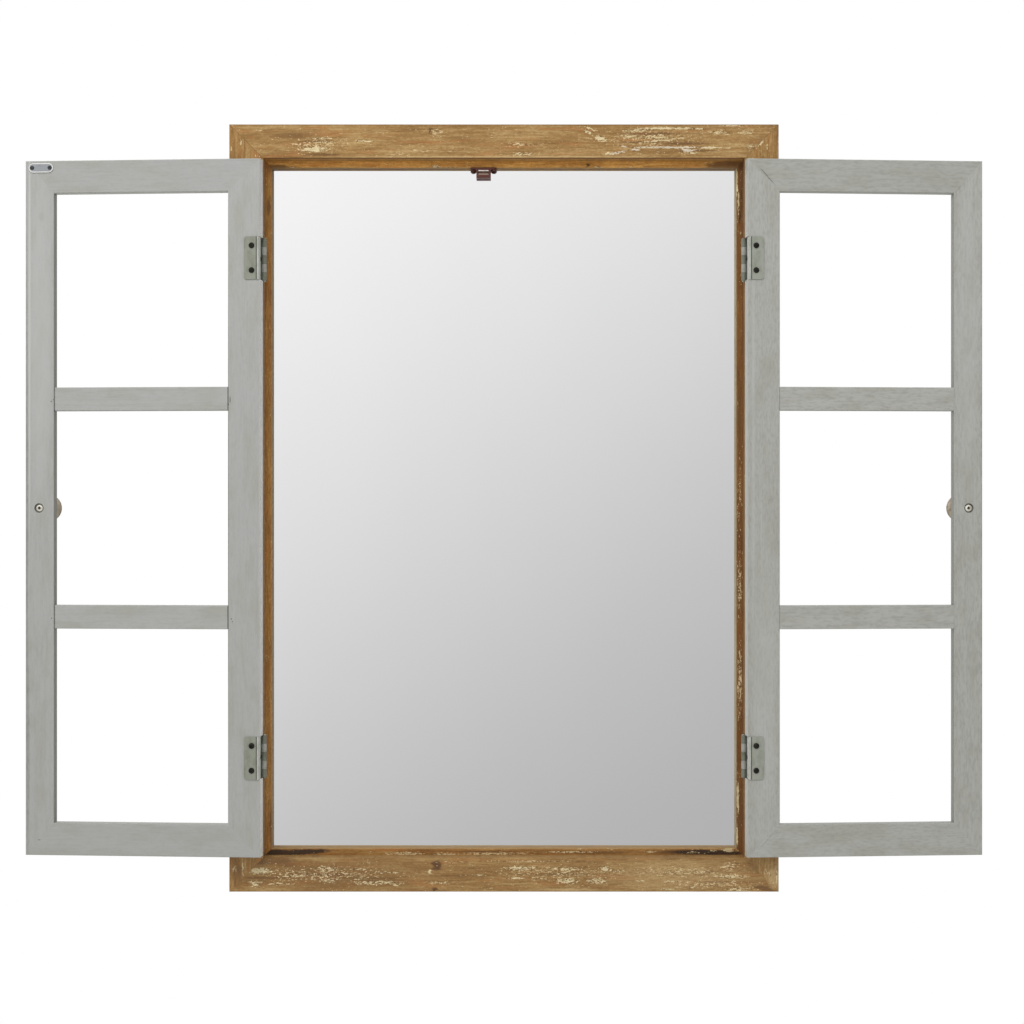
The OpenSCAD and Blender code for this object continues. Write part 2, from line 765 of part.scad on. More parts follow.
module hinge_stile() color(GREY_PAINT)
    difference() {
        intersection() {
            stick_z([edge_u, stile_u], [outer_v, inner_v], [-shutter_h / 2, shutter_h / 2],
                    shutter_ease);
            slab([outer_v - past, inner_v + past])
                stile_outline(edge_u, stile_u, shutter_h / 2, rail_w);
        }
        at_hinges() {
            translate([edge_u - past, outer_v - past, -leaf_h / 2 - mortise_gap])
                cube([knuckle_r - edge_u + past, shutter_t + 2 * past,
                      leaf_h + 2 * mortise_gap]);
            at_face_screws() pilot(leaf_shank_r, leaf_screw_l);
            at_edge_screw() pilot(leaf_shank_r, leaf_screw_l);
        }
        stile_wedge(1);
        dowel_set(drive_fit);
    }

module free_stile(with_strike) color(GREY_PAINT)
    difference() {
        intersection() {
            stick_z([free_stile_u, free_u], [outer_v, inner_v],
                    [-shutter_h / 2, shutter_h / 2], shutter_ease);
            slab([outer_v - past, inner_v + past])
                stile_outline(free_u, free_stile_u, shutter_h / 2, rail_w);
        }
        knob_bore();
        stile_wedge(-1);
        dowel_set(drive_fit);
        if (with_strike) strike_screw_places() pilot(strike_screw_r, strike_screw_l);
    }

module shutter_rail(s, with_strike) color(GREY_PAINT)
    difference() {
        intersection() {
            stick_x([edge_u, free_u], [outer_v, inner_v],
                    s > 0 ? [rail_w, shutter_h / 2] : [-shutter_h / 2, -rail_w],
                    shutter_ease);
            slab([outer_v - past, inner_v + past])
                polygon([
                    [edge_u, s * shutter_h / 2], [free_u, s * shutter_h / 2],
                    [free_stile_u, s * rail_w], [stile_u, s * rail_w]
                ]);
        }
        rail_wedge(s * rail_w, s);
        dowel_set(drive_fit);
        if (with_strike) strike_screw_places() pilot(strike_screw_r, strike_screw_l);
    }

module muntin_stick(s, u)
    difference() {
        stick_x(u, [outer_v, inner_v],
                [s * muntin_mid - muntin_w / 2, s * muntin_mid + muntin_w / 2],
                shutter_ease);
        for (edge = [-1, 1])
            rail_wedge(s * muntin_mid + edge * muntin_w / 2, -edge);
    }

// Glazing bar, its ends scribed over the chamfers of the two stiles
module muntin(s) color(GREY_PAINT)
    difference() {
        union() {
            muntin_stick(s, [stile_u, free_stile_u]);
            intersection() {
                muntin_stick(s, [stile_u - pane_chamfer, free_stile_u + pane_chamfer]);
                linear_extrude(shutter_h, center = true)
                    polygon([
                        [stile_u - pane_chamfer, outer_v], [stile_u, outer_v + pane_chamfer],
                        [free_stile_u, outer_v + pane_chamfer],
                        [free_stile_u + pane_chamfer, outer_v]
                    ]);
            }
        }
        dowel_set(drive_fit);
    }

module leaf_screws() color(BLACK_STEEL)
    at_hinges() {
        at_face_screws() wood_screw(leaf_head_r, leaf_head_h, leaf_shank_r, leaf_screw_l);
        at_edge_screw() wood_screw(edge_head_r, edge_head_h, leaf_shank_r, leaf_screw_l);
    }

// Turned mushroom knob, standing up from z = 0, with its threaded bore
module knob_body() {
    cap_r = knob_d / 2;
    neck_r = knob_neck_d / 2;
    foot_r = knob_foot_d / 2;
    rim_h = knob_l - knob_dome_r + sqrt(pow(knob_dome_r, 2) - pow(cap_r, 2)) - knob_rim_r;
    foot = [for (i = [0:knob_steps])
        let (t = 90 * i / knob_steps)
        [foot_r - (foot_r - neck_r) * sin(t),
         knob_foot_h + (knob_neck_h - knob_foot_h) * (1 - cos(t))]];
    flare = [for (i = [0:knob_steps])
        let (t = i / knob_steps)
        [neck_r + (cap_r - knob_edge - neck_r) * pow(t, knob_flare),
         knob_neck_h + (rim_h - knob_neck_h) * t]];
    difference() {
        rotate_extrude() {
            intersection() {
                polygon(concat([[0, 0], [foot_r, 0]], foot, flare,
                               [[cap_r - knob_edge, rim_h], [cap_r, rim_h + knob_edge],
                                [cap_r, rim_h + knob_rim_r], [cap_r, knob_l], [0, knob_l]]));
                translate([0, knob_l - knob_dome_r]) union() {
                    circle(knob_dome_r);
                    translate([0, -knob_l]) square([knob_l, knob_l]);
                }
            }
        }
        translate([0, 0, -past]) cylinder(h = knob_bore_l + past, r = knob_screw_r + drive_fit);
    }
}

module knob() color(BRONZE)
    translate([knob_u, outer_v, 0]) rotate([90, 0, 0]) knob_body();

// Machine screw from the inner face through the stile into the knob
module knob_screw() color(BRIGHT_STEEL)
    translate([knob_u, inner_v - counterbore_t, 0]) rotate([-90, 0, 0]) {
        difference() {
            domed_head(knob_head_r, knob_head_h);
            translate([0, 0, knob_head_h - knob_socket_t]) rotate(45)
                linear_extrude(knob_head_h) square(knob_socket_w, center = true);
        }
        translate([0, 0, -shutter_t + counterbore_t - knob_screw_into])
            cylinder(h = shutter_t - counterbore_t + knob_screw_into, r = knob_screw_r);
    }

module strike_outline(l, w)
    union() {
        square([l - w, w], center = true);
        for (s = [-1, 1]) translate([s * (l - w) / 2, 0]) circle(w / 2);
    }

module strike() color(BRIGHT_STEEL)
    difference() {
        translate([strike_u, 0, strike_z]) difference() {
            slab([inner_v, strike_back_v]) strike_outline(strike_l, strike_w);
            slab([strike_back_v - strike_dish, strike_back_v + past])
                strike_outline(strike_l - 2 * strike_rim, strike_w - 2 * strike_rim);
        }
        strike_screw_places() pilot(strike_screw_r, strike_t + past);
    }

module strike_screw_set() color(BLACK_STEEL)
    strike_screw_places()
        wood_screw(strike_head_r, strike_head_h, strike_screw_r, strike_screw_l);

module at_upper() translate([0, 0, hinge_w]) children();
module at_lower() translate([0, 0, -hinge_w]) children();

module left_hinge_stile() left_shutter() hinge_stile();
module left_free_stile() left_shutter() free_stile(true);
module left_top_rail() left_shutter() shutter_rail(1, true);
module left_bottom_rail() left_shutter() shutter_rail(-1, false);
module left_upper_muntin() left_shutter() muntin(1);
module left_lower_muntin() left_shutter() muntin(-1);
module left_dowels() color(BEECH) left_shutter() dowel_set(0);
module left_upper_door_leaf() color(GREY_STEEL) left_shutter() at_upper() door_leaf();
module left_lower_door_leaf() color(GREY_STEEL) left_shutter() at_lower() door_leaf();
module left_leaf_screws() left_shutter() leaf_screws();
module left_knob() left_shutter() knob();
module left_knob_screw() left_shutter() knob_screw();
module strike_plate() left_shutter() strike();
module strike_screws() left_shutter() strike_screw_set();

module right_hinge_stile() right_shutter() hinge_stile();
module right_free_stile() right_shutter() free_stile(false);
module right_top_rail() right_shutter() shutter_rail(1, false);
module right_bottom_rail() right_shutter() shutter_rail(-1, false);
module right_upper_muntin() right_shutter() muntin(1);
module right_lower_muntin() right_shutter() muntin(-1);
module right_dowels() color(BEECH) right_shutter() dowel_set(0);
module right_upper_door_leaf() color(GREY_STEEL) right_shutter() at_upper() door_leaf();
module right_lower_door_leaf() color(GREY_STEEL) right_shutter() at_lower() door_leaf();
module right_leaf_screws() right_shutter() leaf_screws();
module right_knob() right_shutter() knob();
module right_knob_screw() right_shutter() knob_screw();

frame_top_rail();
frame_bottom_rail();
frame_left_stile();
frame_right_stile();
frame_corner_nails();
stop_bead_top();
stop_bead_bottom();
stop_bead_left();
stop_bead_right();
mirror_glass();
backing_board();
glazing_points();
hanger_left();
hanger_right();
hanger_screws();
left_upper_frame_leaf();
left_lower_frame_leaf();
right_upper_frame_leaf();
right_lower_frame_leaf();
left_upper_hinge_pin();
left_lower_hinge_pin();
right_upper_hinge_pin();
right_lower_hinge_pin();
frame_leaf_screws();
catch_housing();
catch_magnet();
catch_pole_plates();
catch_screws();
left_hinge_stile();
left_free_stile();
left_top_rail();
left_bottom_rail();
left_upper_muntin();
left_lower_muntin();
left_dowels();
left_upper_door_leaf();
left_lower_door_leaf();
left_leaf_screws();
left_knob();
left_knob_screw();
strike_plate();
strike_screws();
right_hinge_stile();
right_free_stile();
right_top_rail();
right_bottom_rail();
right_upper_muntin();
right_lower_muntin();
right_dowels();
right_upper_door_leaf();
right_lower_door_leaf();
right_leaf_screws();
right_knob();
right_knob_screw();
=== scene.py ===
import json
import math

import bpy
import bmesh
from bpy.props import FloatProperty, FloatVectorProperty, PointerProperty
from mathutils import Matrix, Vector


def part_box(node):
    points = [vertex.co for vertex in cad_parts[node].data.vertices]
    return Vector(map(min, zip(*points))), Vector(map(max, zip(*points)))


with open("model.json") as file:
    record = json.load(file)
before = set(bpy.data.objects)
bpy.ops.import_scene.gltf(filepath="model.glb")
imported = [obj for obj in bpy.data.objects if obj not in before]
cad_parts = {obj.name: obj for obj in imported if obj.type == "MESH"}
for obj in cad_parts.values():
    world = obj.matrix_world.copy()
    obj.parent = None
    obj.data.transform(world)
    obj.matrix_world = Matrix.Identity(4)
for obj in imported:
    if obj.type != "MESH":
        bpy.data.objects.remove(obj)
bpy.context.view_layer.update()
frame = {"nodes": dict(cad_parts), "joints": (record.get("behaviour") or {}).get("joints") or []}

bl_info = {
    "name": "Shutter mirror",
    "version": (1, 0, 0),
    "blender": (4, 5, 0),
    "location": "View3D > Sidebar > Mirror",
    "description": "Dresses a fir box-frame mirror and its two painted window shutters",
    "category": "Object",
}

MM = 0.001

# The mirror hangs with its back on the plane y = 0. These come from the packed model, in metres.
OPENING = (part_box("mirror_glass")[0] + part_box("mirror_glass")[1]) / 2
FRAME_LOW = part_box("frame_bottom_rail")[0]
FRAME_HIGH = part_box("frame_top_rail")[1]
BEAD_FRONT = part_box("stop_bead_top")[0].y
RAIL = (FRAME_HIGH.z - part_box("frame_top_rail")[0].z) / MM
PIN = {joint["child"]: Vector(joint["pos_m"]) for joint in frame["joints"]}

# How far each shutter stands open, past the closed position, in degrees
OPEN_ANGLE = 184.0

# The shutters' inner and outer faces from the plane of the pins, in mm
INNER_FACE = 19.0
OUTER_FACE = 3.0

# The knobs' screws from the pins, and the radius of the dirt and painted shade in their drive recess, in mm
KNOB_OUT = 248.4
DRIVE_RADIUS = 2.6

# How far a mark reaches behind its face, in mm
MARK_DEPTH = 9.0

# The camera's sensor, in mm
SENSOR = 36.0

# The studio, in metres: the lamp's place, the floor's size, and how far its middle lies from the wall
KEY_PLACE = (-0.5, -1.6, 1.2)
FLOOR_SIZE = (6.0, 3.3)
FLOOR_MIDDLE = -0.75

# The slopes of the sight lines between which the mirrored room goes from bright to dark
SWEEP_SLOPES = (-0.280, 0.232)

WHITE = (1.0, 1.0, 1.0, 1.0)


def linear(code):
    """An sRGB hex colour as the linear RGBA that shaders take."""
    channels = [int(code[i:i + 2], 16) / 255 for i in (1, 3, 5)]
    return (*[c / 12.92 if c <= 0.04045 else ((c + 0.055) / 1.055) ** 2.4 for c in channels], 1.0)


def tinted(colour, tint, gain=1.0):
    """A linear colour seen through a tint given as sRGB hex, and made lighter or darker by a factor."""
    return (*[a * b * gain for a, b in zip(colour[:3], linear(tint)[:3])], 1.0)


def colour_property(name, description, code):
    """A colour swatch whose default is an sRGB hex value."""
    return FloatVectorProperty(
        name=name,
        description=description,
        subtype="COLOR",
        size=4,
        min=0.0,
        max=1.0,
        default=linear(code),
    )


# ---------------- settings


class StudioSettings(bpy.types.PropertyGroup):
    """Camera, light and floor."""

    lens: FloatProperty(
        name="Lens",
        description="Focal length on a 36 mm wide sensor, in millimetres",
        default=70.3125,
    )
    camera_x: FloatProperty(
        name="Camera aside",
        description="How far the camera stands to the right of the middle",
        default=0.0089,
        unit="LENGTH",
    )
    camera_away: FloatProperty(
        name="Camera distance",
        description="Distance from the wall to the camera",
        default=2.258,
        unit="LENGTH",
    )
    camera_height: FloatProperty(
        name="Camera height",
        description="Height of the camera against the middle of the top rail",
        default=-0.4114,
        unit="LENGTH",
    )
    key_power: FloatProperty(
        name="Key light",
        description="Power of the large soft lamp above and to the left",
        default=23.7,
        min=0.0,
        unit="POWER",
    )
    key_size: FloatProperty(
        name="Key size",
        description="Side of the large soft lamp",
        default=1.2,
        min=0.1,
        unit="LENGTH",
    )
    room_light: FloatProperty(
        name="Room light",
        description="Even light from all sides that falls on matt surfaces",
        default=0.56,
        min=0.0,
    )
    reflection_bright: FloatProperty(
        name="Brightest reflection",
        description="What the glass mirrors at its upper left",
        default=0.976,
        min=0.0,
    )
    reflection_dark: FloatProperty(
        name="Darkest reflection",
        description="What the glass mirrors at its lower right",
        default=0.457,
        min=0.0,
    )
    floor_drop: FloatProperty(
        name="Floor",
        description="Height of the floor against the middle of the top rail",
        default=-1.25,
        unit="LENGTH",
    )


class TimberSettings(bpy.types.PropertyGroup):
    """The brushed and stained fir of the box frame and its stop beads."""

    dark_grain: colour_property("Dark grain", "Late wood under the honey stain", "#84602F")
    mid_grain: colour_property("Honey grain", "The stain's usual colour", "#A5814E")
    pale_grain: colour_property("Pale grain", "Early wood under the honey stain", "#C6A774")
    orange_grain: colour_property("Orange grain", "Where the stain is rubbed thin", "#B57A45")
    late_line: colour_property("Late wood line", "Thin dark lines of late wood", "#7A5429")
    # This brown is also painted shade: in the beads' corners and along the top rail's edge of the opening
    smoked_and_shade: colour_property("Smoked patch", "Where the stain has soaked in", "#6E4C28")
    # This near-black is mostly painted shadow, in wedges on the bottom bead
    charred_and_shadow: colour_property("Charred patch", "Nearly black stain in the corners of the beads", "#33241A")
    knot: colour_property("Knot", "Knots and the pitch around them", "#5C3A1E")
    rubbed_cream: colour_property("Rubbed cream", "Old cream paint left in the pores", "#E8D6A8")
    chalk: colour_property("Chalky paint", "Older paint that has gone white", "#E0D2B8")
    raw_fir: colour_property("Raw fir", "The bare back of the frame", "#CDB084")
    relief: FloatProperty(
        name="Grain relief",
        description="Depth that the wire brush leaves between the growth rings",
        default=0.3 * MM,
        min=0.0,
        unit="LENGTH",
    )


class EnamelSettings(bpy.types.PropertyGroup):
    """The satin grey enamel on the shutters."""

    left_grey: colour_property("Left shutter", "Enamel on the left shutter", "#B1B2AF")
    right_grey: colour_property("Right shutter", "Enamel on the right shutter", "#B2B2AD")
    olive_grey: colour_property("Thin enamel", "Where the enamel lies thin", "#A5A599")
    scuffed_grey: colour_property("Handled edge", "Dirt along the handled arrises", "#85867F")
    # This pale grey is a painted highlight, on lit arrises and parts of the shutters' stiles
    painted_highlight_grey: colour_property("Rubbed edge", "Enamel polished pale along an arris", "#C3C4C1")
    relief: FloatProperty(
        name="Brush relief",
        description="Depth of the brush marks in the enamel",
        default=0.05 * MM,
        min=0.0,
        unit="LENGTH",
    )


class MetalSettings(bpy.types.PropertyGroup):
    """Hinges, screws, catch and knobs."""

    hinge_grey: colour_property("Hinge enamel", "Stoved grey enamel on the hinges' flaps", "#939689")
    knuckle_grey: colour_property("Frame knuckles", "Enamel on the frame's leaves", "#787C6E")
    # This pale grey is a painted highlight on the door leaves' bends and narrow faces
    bend_highlight_grey: colour_property("Hinge bends", "Enamel worn bright round the bends", "#DCDDD6")
    black_screw: colour_property("Blackened steel", "Oil-blackened wood screws", "#3A3935")
    nickel: colour_property("Nickel plate", "Bright nickel on the strike plate", "#EEEDEA")
    bronze: colour_property("Antique bronze", "Rubbed bronze of the knobs", "#C1B4A2")
    zinc: colour_property("Zinc plate", "Passivated zinc on nails, pins and hangers", "#B9BBB8")
    catch_brown: colour_property("Catch housing", "Brown moulded plastic", "#643329")


# ---------------- nodes


def socket(sockets, key):
    """The socket in use with this name, or at this place in the list."""
    if isinstance(key, int):
        return sockets[key]
    return next(s for s in sockets if s.name == key and s.enabled)


def add(tree, kind, settings=None):
    """Adds a node with its settings and links.

    A setting is one of the node's own options, or what one of its sockets gets, by name or place: a value,
    another node, whose first output in use is linked, or a pair of a node and the name of the output to link.
    The setting "ramp" gives a colour ramp's stops as pairs of place and colour.
    """
    node = tree.nodes.new(kind)
    for key, value in (settings or {}).items():
        if key == "ramp":
            elements = node.color_ramp.elements
            while len(elements) < len(value):
                elements.new(1.0)
            for element, (place, colour) in zip(elements, value):
                element.position = place
                element.color = colour
        elif not isinstance(key, int) and hasattr(node, key):
            setattr(node, key, value)
        elif isinstance(value, bpy.types.Node):
            tree.links.new(next(s for s in value.outputs if s.enabled), socket(node.inputs, key))
        elif isinstance(value, tuple) and isinstance(value[0], bpy.types.Node):
            tree.links.new(socket(value[0].outputs, value[1]), socket(node.inputs, key))
        else:
            socket(node.inputs, key).default_value = value
    return node


def new_material(name):
    """An empty material and its node tree."""
    material = bpy.data.materials.new(name)
    material.use_nodes = True
    material.node_tree.nodes.clear()
    return material, material.node_tree


def shade(tree, colour, settings, rough=None, height=None, depth=0.0, strength=0.5):
    """Ends a material with one Principled shader.

    Rough is a limit, as mask() takes it, that gives the roughness. Height is a value between 0 and 1 for the
    relief, over a real depth in metres.
    """
    links = {"Base Color": colour}
    if rough:
        links["Roughness"] = mask(tree, rough)
    if height:
        links["Normal"] = add(
            tree,
            "ShaderNodeBump",
            {"Strength": strength, "Distance": depth, "Height": height},
        )
    surface = add(tree, "ShaderNodeBsdfPrincipled", {**settings, **links})
    add(tree, "ShaderNodeOutputMaterial", {"Surface": surface})


# ---------------- patterns


def part_space(tree):
    """Places on the whole part at rest, in millimetres."""
    place = add(tree, "ShaderNodeTexCoord")
    return add(
        tree,
        "ShaderNodeVectorMath",
        {"operation": "SCALE", "Scale": 1 / MM, "Vector": (place, "Object")},
    )


def shutter_space(tree, side):
    """Places on one shutter, in millimetres.

    x runs from its pin to its free edge, y from its outer to its inner face, and z up.
    """
    place = add(tree, "ShaderNodeTexCoord")
    if side == "left":
        turn, flip = -math.radians(OPEN_ANGLE), 1.0
    else:
        turn, flip = math.radians(OPEN_ANGLE - 180), -1.0
    return add(
        tree,
        "ShaderNodeMapping",
        {
            "vector_type": "TEXTURE",
            "Location": PIN[side + "_shutter"],
            "Rotation": (0.0, 0.0, turn),
            "Scale": (MM, flip * MM, MM),
            "Vector": (place, "Object"),
        },
    )


def grain(tree, place, along, width, length, shift=0.0, detail=2.0):
    """Noise drawn out along an axis: its features are `width` mm across and `length` mm long.

    Shift moves to another stretch of it, so that no two patterns run alike.
    """
    size = [width, width, width]
    size["XYZ".index(along)] = length
    stretch = add(
        tree,
        "ShaderNodeMapping",
        {
            "vector_type": "POINT",
            "Location": (shift, 0.37 * shift, 0.71 * shift),
            "Scale": [1 / s for s in size],
            "Vector": place,
        },
    )
    return add(
        tree,
        "ShaderNodeTexNoise",
        {"Scale": 1.0, "Detail": detail, "Roughness": 0.55, "Vector": stretch},
    )


def sums(tree, *terms):
    """Adds several (value, weight) pairs."""
    value, weight = terms[0]
    total = add(tree, "ShaderNodeMath", {"operation": "MULTIPLY", 0: value, 1: weight})
    for value, weight in terms[1:]:
        weighted = {"operation": "MULTIPLY_ADD", 0: value, 1: weight, 2: total}
        total = add(tree, "ShaderNodeMath", weighted)
    return total


def mask(tree, *limits):
    """How much of a coat shows: the product of its limits.

    A limit is a node that is taken as it is, or a smooth step: the value, where the step starts and where it
    ends, and the amounts before and after it, where these aren't 0 and 1.
    """
    total = None
    for limit in limits:
        part = limit
        if isinstance(limit, tuple):
            value, start, end, *amounts = limit
            low, high = amounts or (0.0, 1.0)
            part = add(
                tree,
                "ShaderNodeMapRange",
                {
                    "interpolation_type": "SMOOTHSTEP",
                    "From Min": start,
                    "From Max": end,
                    "To Min": low,
                    "To Max": high,
                    "Value": value,
                },
            )
        if total:
            part = add(tree, "ShaderNodeMath", {"operation": "MULTIPLY", 0: total, 1: part})
        total = part
    return total


def coat(tree, under, over, *limits):
    """Lays one colour over another as far as its limits say. A colour is a node or a linear RGBA."""
    amount = mask(tree, *limits)
    return add(tree, "ShaderNodeMix", {"data_type": "RGBA", "Factor": amount, "A": under, "B": over})


def marks(tree, place, depth, rows, rim=1.0, core=0.35):
    """The strongest of some soft ellipses on a face at one depth, in millimetres.

    A row holds x, z, half length, half height and strength, and for a turned mark its angle in degrees.
    The strength falls off from core to rim, both as shares of the ellipse.
    """
    total = None
    for x, z, half_x, half_z, strength, *turn in rows:
        angle = math.radians(turn[0]) if turn else 0.0
        inside = add(
            tree,
            "ShaderNodeMapping",
            {
                "vector_type": "TEXTURE",
                "Location": (x, depth, z),
                "Rotation": (0.0, -angle, 0.0),
                "Scale": (half_x, MARK_DEPTH, half_z),
                "Vector": place,
            },
        )
        far = add(tree, "ShaderNodeVectorMath", {"operation": "LENGTH", "Vector": inside})
        soft = mask(tree, (far, rim, core, 0.0, strength))
        if total:
            soft = add(tree, "ShaderNodeMath", {"operation": "MAXIMUM", 0: total, 1: soft})
        total = soft
    return total


# ---------------- timber


def from_opening(tree, axes):
    """How far a place lies outside the box frame's opening, and from its mitres' 45 degree lines, in mm."""
    middle = (FRAME_LOW.z + FRAME_HIGH.z) / 2 / MM
    half_high = (FRAME_HIGH.z - FRAME_LOW.z) / 2 / MM
    half_wide = FRAME_HIGH.x / MM
    across = add(tree, "ShaderNodeMath", {"operation": "ABSOLUTE", 0: (axes, "X")})
    across = add(tree, "ShaderNodeMath", {"operation": "SUBTRACT", 0: across, 1: half_wide - RAIL})
    level = add(tree, "ShaderNodeMath", {"operation": "SUBTRACT", 0: (axes, "Z"), 1: middle})
    level = add(tree, "ShaderNodeMath", {"operation": "ABSOLUTE", 0: level})
    level = add(tree, "ShaderNodeMath", {"operation": "SUBTRACT", 0: level, 1: half_high - RAIL})
    outside = add(tree, "ShaderNodeMath", {"operation": "MAXIMUM", 0: across, 1: level})
    mitre = add(tree, "ShaderNodeMath", {"operation": "SUBTRACT", 0: across, 1: level})
    mitre = add(tree, "ShaderNodeMath", {"operation": "ABSOLUTE", 0: mitre})
    return outside, mitre


def stained_fir(name, along, shift, side, wear, tone, gain=1.0, seam=0.3, arris=0.0, bead=False):
    """Wire-brushed fir with raised rings, stained honey brown, with old cream paint rubbed into its pores.

    The wear gives lists of marks on the front: cream and chalky paint, dark and nearly black patches, pale
    patches and knots. Some dark patches are painted shade, at the ends of the top bead, and the nearly black
    ones on the bottom bead are wedges of painted shadow. Tone and gain set one stick against the others, and
    lift or darken some sticks against the light they get, as painted light. Side is the colour of the faces
    in the opening, seam shows the mitre's saw cut, and arris is the strength of the dark line of painted
    shadow round the opening, or of the painted shade in the corner against the glass on a bead.
    """
    timber = bpy.context.scene.mirror_timber
    front = (BEAD_FRONT if bead else FRAME_LOW.y) / MM
    top = FRAME_HIGH.z / MM
    material, tree = new_material(name)
    place = part_space(tree)
    axes = add(tree, "ShaderNodeSeparateXYZ", {"Vector": place})
    deep, level = (axes, "Y"), (axes, "Z")
    # The rings lie 2 to 3 mm apart. Real fibres and specks are finer, and these are as coarse as they need to
    # be to show.
    cloud = grain(tree, place, along, 12, 70, shift)
    streaks = grain(tree, place, along, 2.6, 60, shift + 31)
    fibres = grain(tree, place, along, 1.9, 16, shift + 57)
    speckle = grain(tree, place, along, 1.9, 4, shift + 5)
    figure = sums(tree, (cloud, 0.30), (streaks, 0.24), (fibres, 0.28), (speckle, 0.22))
    stops = (0.38, timber.dark_grain), (0.52, timber.mid_grain), (0.66, timber.pale_grain)
    ramp = [(spot, tinted(colour, tone, gain)) for spot, colour in stops]
    wood = add(tree, "ShaderNodeValToRGB", {"ramp": ramp, "Fac": figure})
    # Where the stain was rubbed thin the fir shows orange, in soft tongues
    tongues = grain(tree, place, along, 5, 55, shift + 71)
    wood = coat(tree, wood, tinted(timber.orange_grain, tone, gain), (tongues, 0.52, 0.70, 0.0, 0.5))
    late = grain(tree, place, along, 1.6, 40, shift + 13)
    wood = coat(tree, wood, tinted(timber.late_line, tone, gain), (late, 0.60, 0.72, 0.0, 0.5))

    # Marks have ragged outlines that follow the fibres, over 14 mm along them and 3 mm across
    wobble = grain(tree, place, along, 2.2, 5, shift + 91, detail=3.0)
    reach = (14.0, 0.0, 3.0) if along == "X" else (3.0, 0.0, 14.0)
    centred = add(
        tree,
        "ShaderNodeVectorMath",
        {"operation": "SUBTRACT", 0: (wobble, "Color"), 1: (0.5, 0.5, 0.5)},
    )
    ragged = add(
        tree,
        "ShaderNodeVectorMath",
        {"operation": "MULTIPLY_ADD", 0: centred, 1: reach, 2: place},
    )
    # Dark patches, pale patches and knots. The dark marks at the ends of the top bead are painted shade, and
    # the nearly black wedges on the bottom bead are painted shadows.
    for kind, colour, most in (
        ("smoked_and_shade", timber.smoked_and_shade, 0.8),
        ("pale", timber.pale_grain, 0.9),
        ("knots", timber.knot, 0.9),
        ("charred_and_shadow", timber.charred_and_shadow, 0.95),
    ):
        if kind in wear:
            field = sums(tree, (marks(tree, ragged, front, wear[kind], 1.1, 0.15), 1.0), (fibres, 0.5))
            wood = coat(tree, wood, colour, (field, 0.25, 1.1, 0.0, most))

    # Cream paint: a thin wash, and crisp flecks in the open pores that close up where more of it was left.
    # Some of it has gone chalky. Between the flecks the pores are dark.
    flecks = sums(
        tree,
        (grain(tree, place, along, 1.05, 3.6, shift + 83), 1.0),
        (grain(tree, place, along, 1.0, 1.6, shift + 87, detail=0.0), 0.45),
    )
    amount = mask(tree, (grain(tree, place, along, 12, 34, shift + 19), 0.5, 0.78, 0.0, 0.4))
    paint = timber.rubbed_cream
    for kind in ("cream", "chalk"):
        if kind in wear:
            old = marks(tree, ragged, front, wear[kind], 1.2, 0.0)
            amount = add(tree, "ShaderNodeMath", {"operation": "MAXIMUM", 0: amount, 1: old})
            if kind == "chalk":
                paint = coat(tree, paint, timber.chalk, (old, 0.0, 0.6))
    wash = sums(tree, (amount, 0.3), (flecks, 0.4))
    wood = coat(tree, wood, paint, (wash, 0.35, 0.85, 0.0, 0.35))
    wood = coat(tree, wood, timber.smoked_and_shade, (flecks, 0.70, 0.58), (amount, 0.0, 1.0, 0.2, 0.85))
    cover = sums(tree, (flecks, 1.0), (amount, 0.28))
    thickness = grain(tree, place, along, 2.5, 7, shift + 97)
    wood = coat(tree, wood, paint, (cover, 0.965, 1.02), (thickness, 0.35, 0.65, 0.55, 0.95))

    # The mitres' saw cuts are closed tighter at the foot of the frame
    outside, mitre = from_opening(tree, axes)
    uneven = add(tree, "ShaderNodeMath", {"operation": "ADD", 0: mitre, 1: speckle})
    wood = coat(tree, wood, timber.knot, (uneven, 1.35, 0.7), (level, -760, -700, 0.3 * seam, seam))
    shaded = coat(tree, linear(side), wood, (figure, 0.42, 0.64, 0.0, 0.5))
    if bead:
        # Painted shade darkens the deep part of the side faces, in the corner against the glass
        shaded = coat(tree, shaded, timber.smoked_and_shade, (deep, front + 6.0, front + 10.5, 0.0, arris))
        wood = coat(tree, wood, shaded, (deep, front + 0.3, front + 1.6))
    else:
        # Across the deep faces the stain lies in soft bands
        bands = grain(tree, place, "Y", 7, 60, shift + 43, detail=3.0)
        shaded = coat(tree, shaded, timber.smoked_and_shade, (bands, 0.4, 0.66, 0.0, 0.35))
        wood = coat(tree, wood, shaded, (deep, front + 0.3, front + 0.8), (outside, 0.9, 0.4))
        # More stain lies along the top of the frame. Round the opening, as strong as arris says, a dark line
        # of painted shadow lies at the arris
        upper = mask(tree, (level, top - 1.8, top - 0.8, 0.0, 0.5))
        inner = mask(tree, (outside, 1.3, 0.7), (deep, front + 3.0, front + 0.5))
        inner = add(tree, "ShaderNodeMath", {"operation": "MULTIPLY", 0: inner, 1: arris})
        stain = add(tree, "ShaderNodeMath", {"operation": "MAXIMUM", 0: upper, 1: inner})
        wood = coat(tree, wood, timber.smoked_and_shade, stain)
    # The back never saw the brush or the stain
    facing = add(tree, "ShaderNodeTexCoord")
    normal = add(tree, "ShaderNodeSeparateXYZ", {"Vector": (facing, "Normal")})
    bare = add(tree, "ShaderNodeMath", {"operation": "GREATER_THAN", 0: (normal, "Y"), 1: 0.7})
    raw = coat(tree, timber.raw_fir, linear("#B08E5E"), (streaks, 0.4, 0.65, 0.0, 0.6))
    wood = coat(tree, wood, raw, bare)
    height = sums(tree, (fibres, 0.4), (streaks, 0.3), (speckle, 0.3))
    shade(tree, wood, {"IOR": 1.5}, (figure, 0.4, 0.65, 0.56, 0.72), height, timber.relief, 0.6)
    return material


# ---------------- enamel


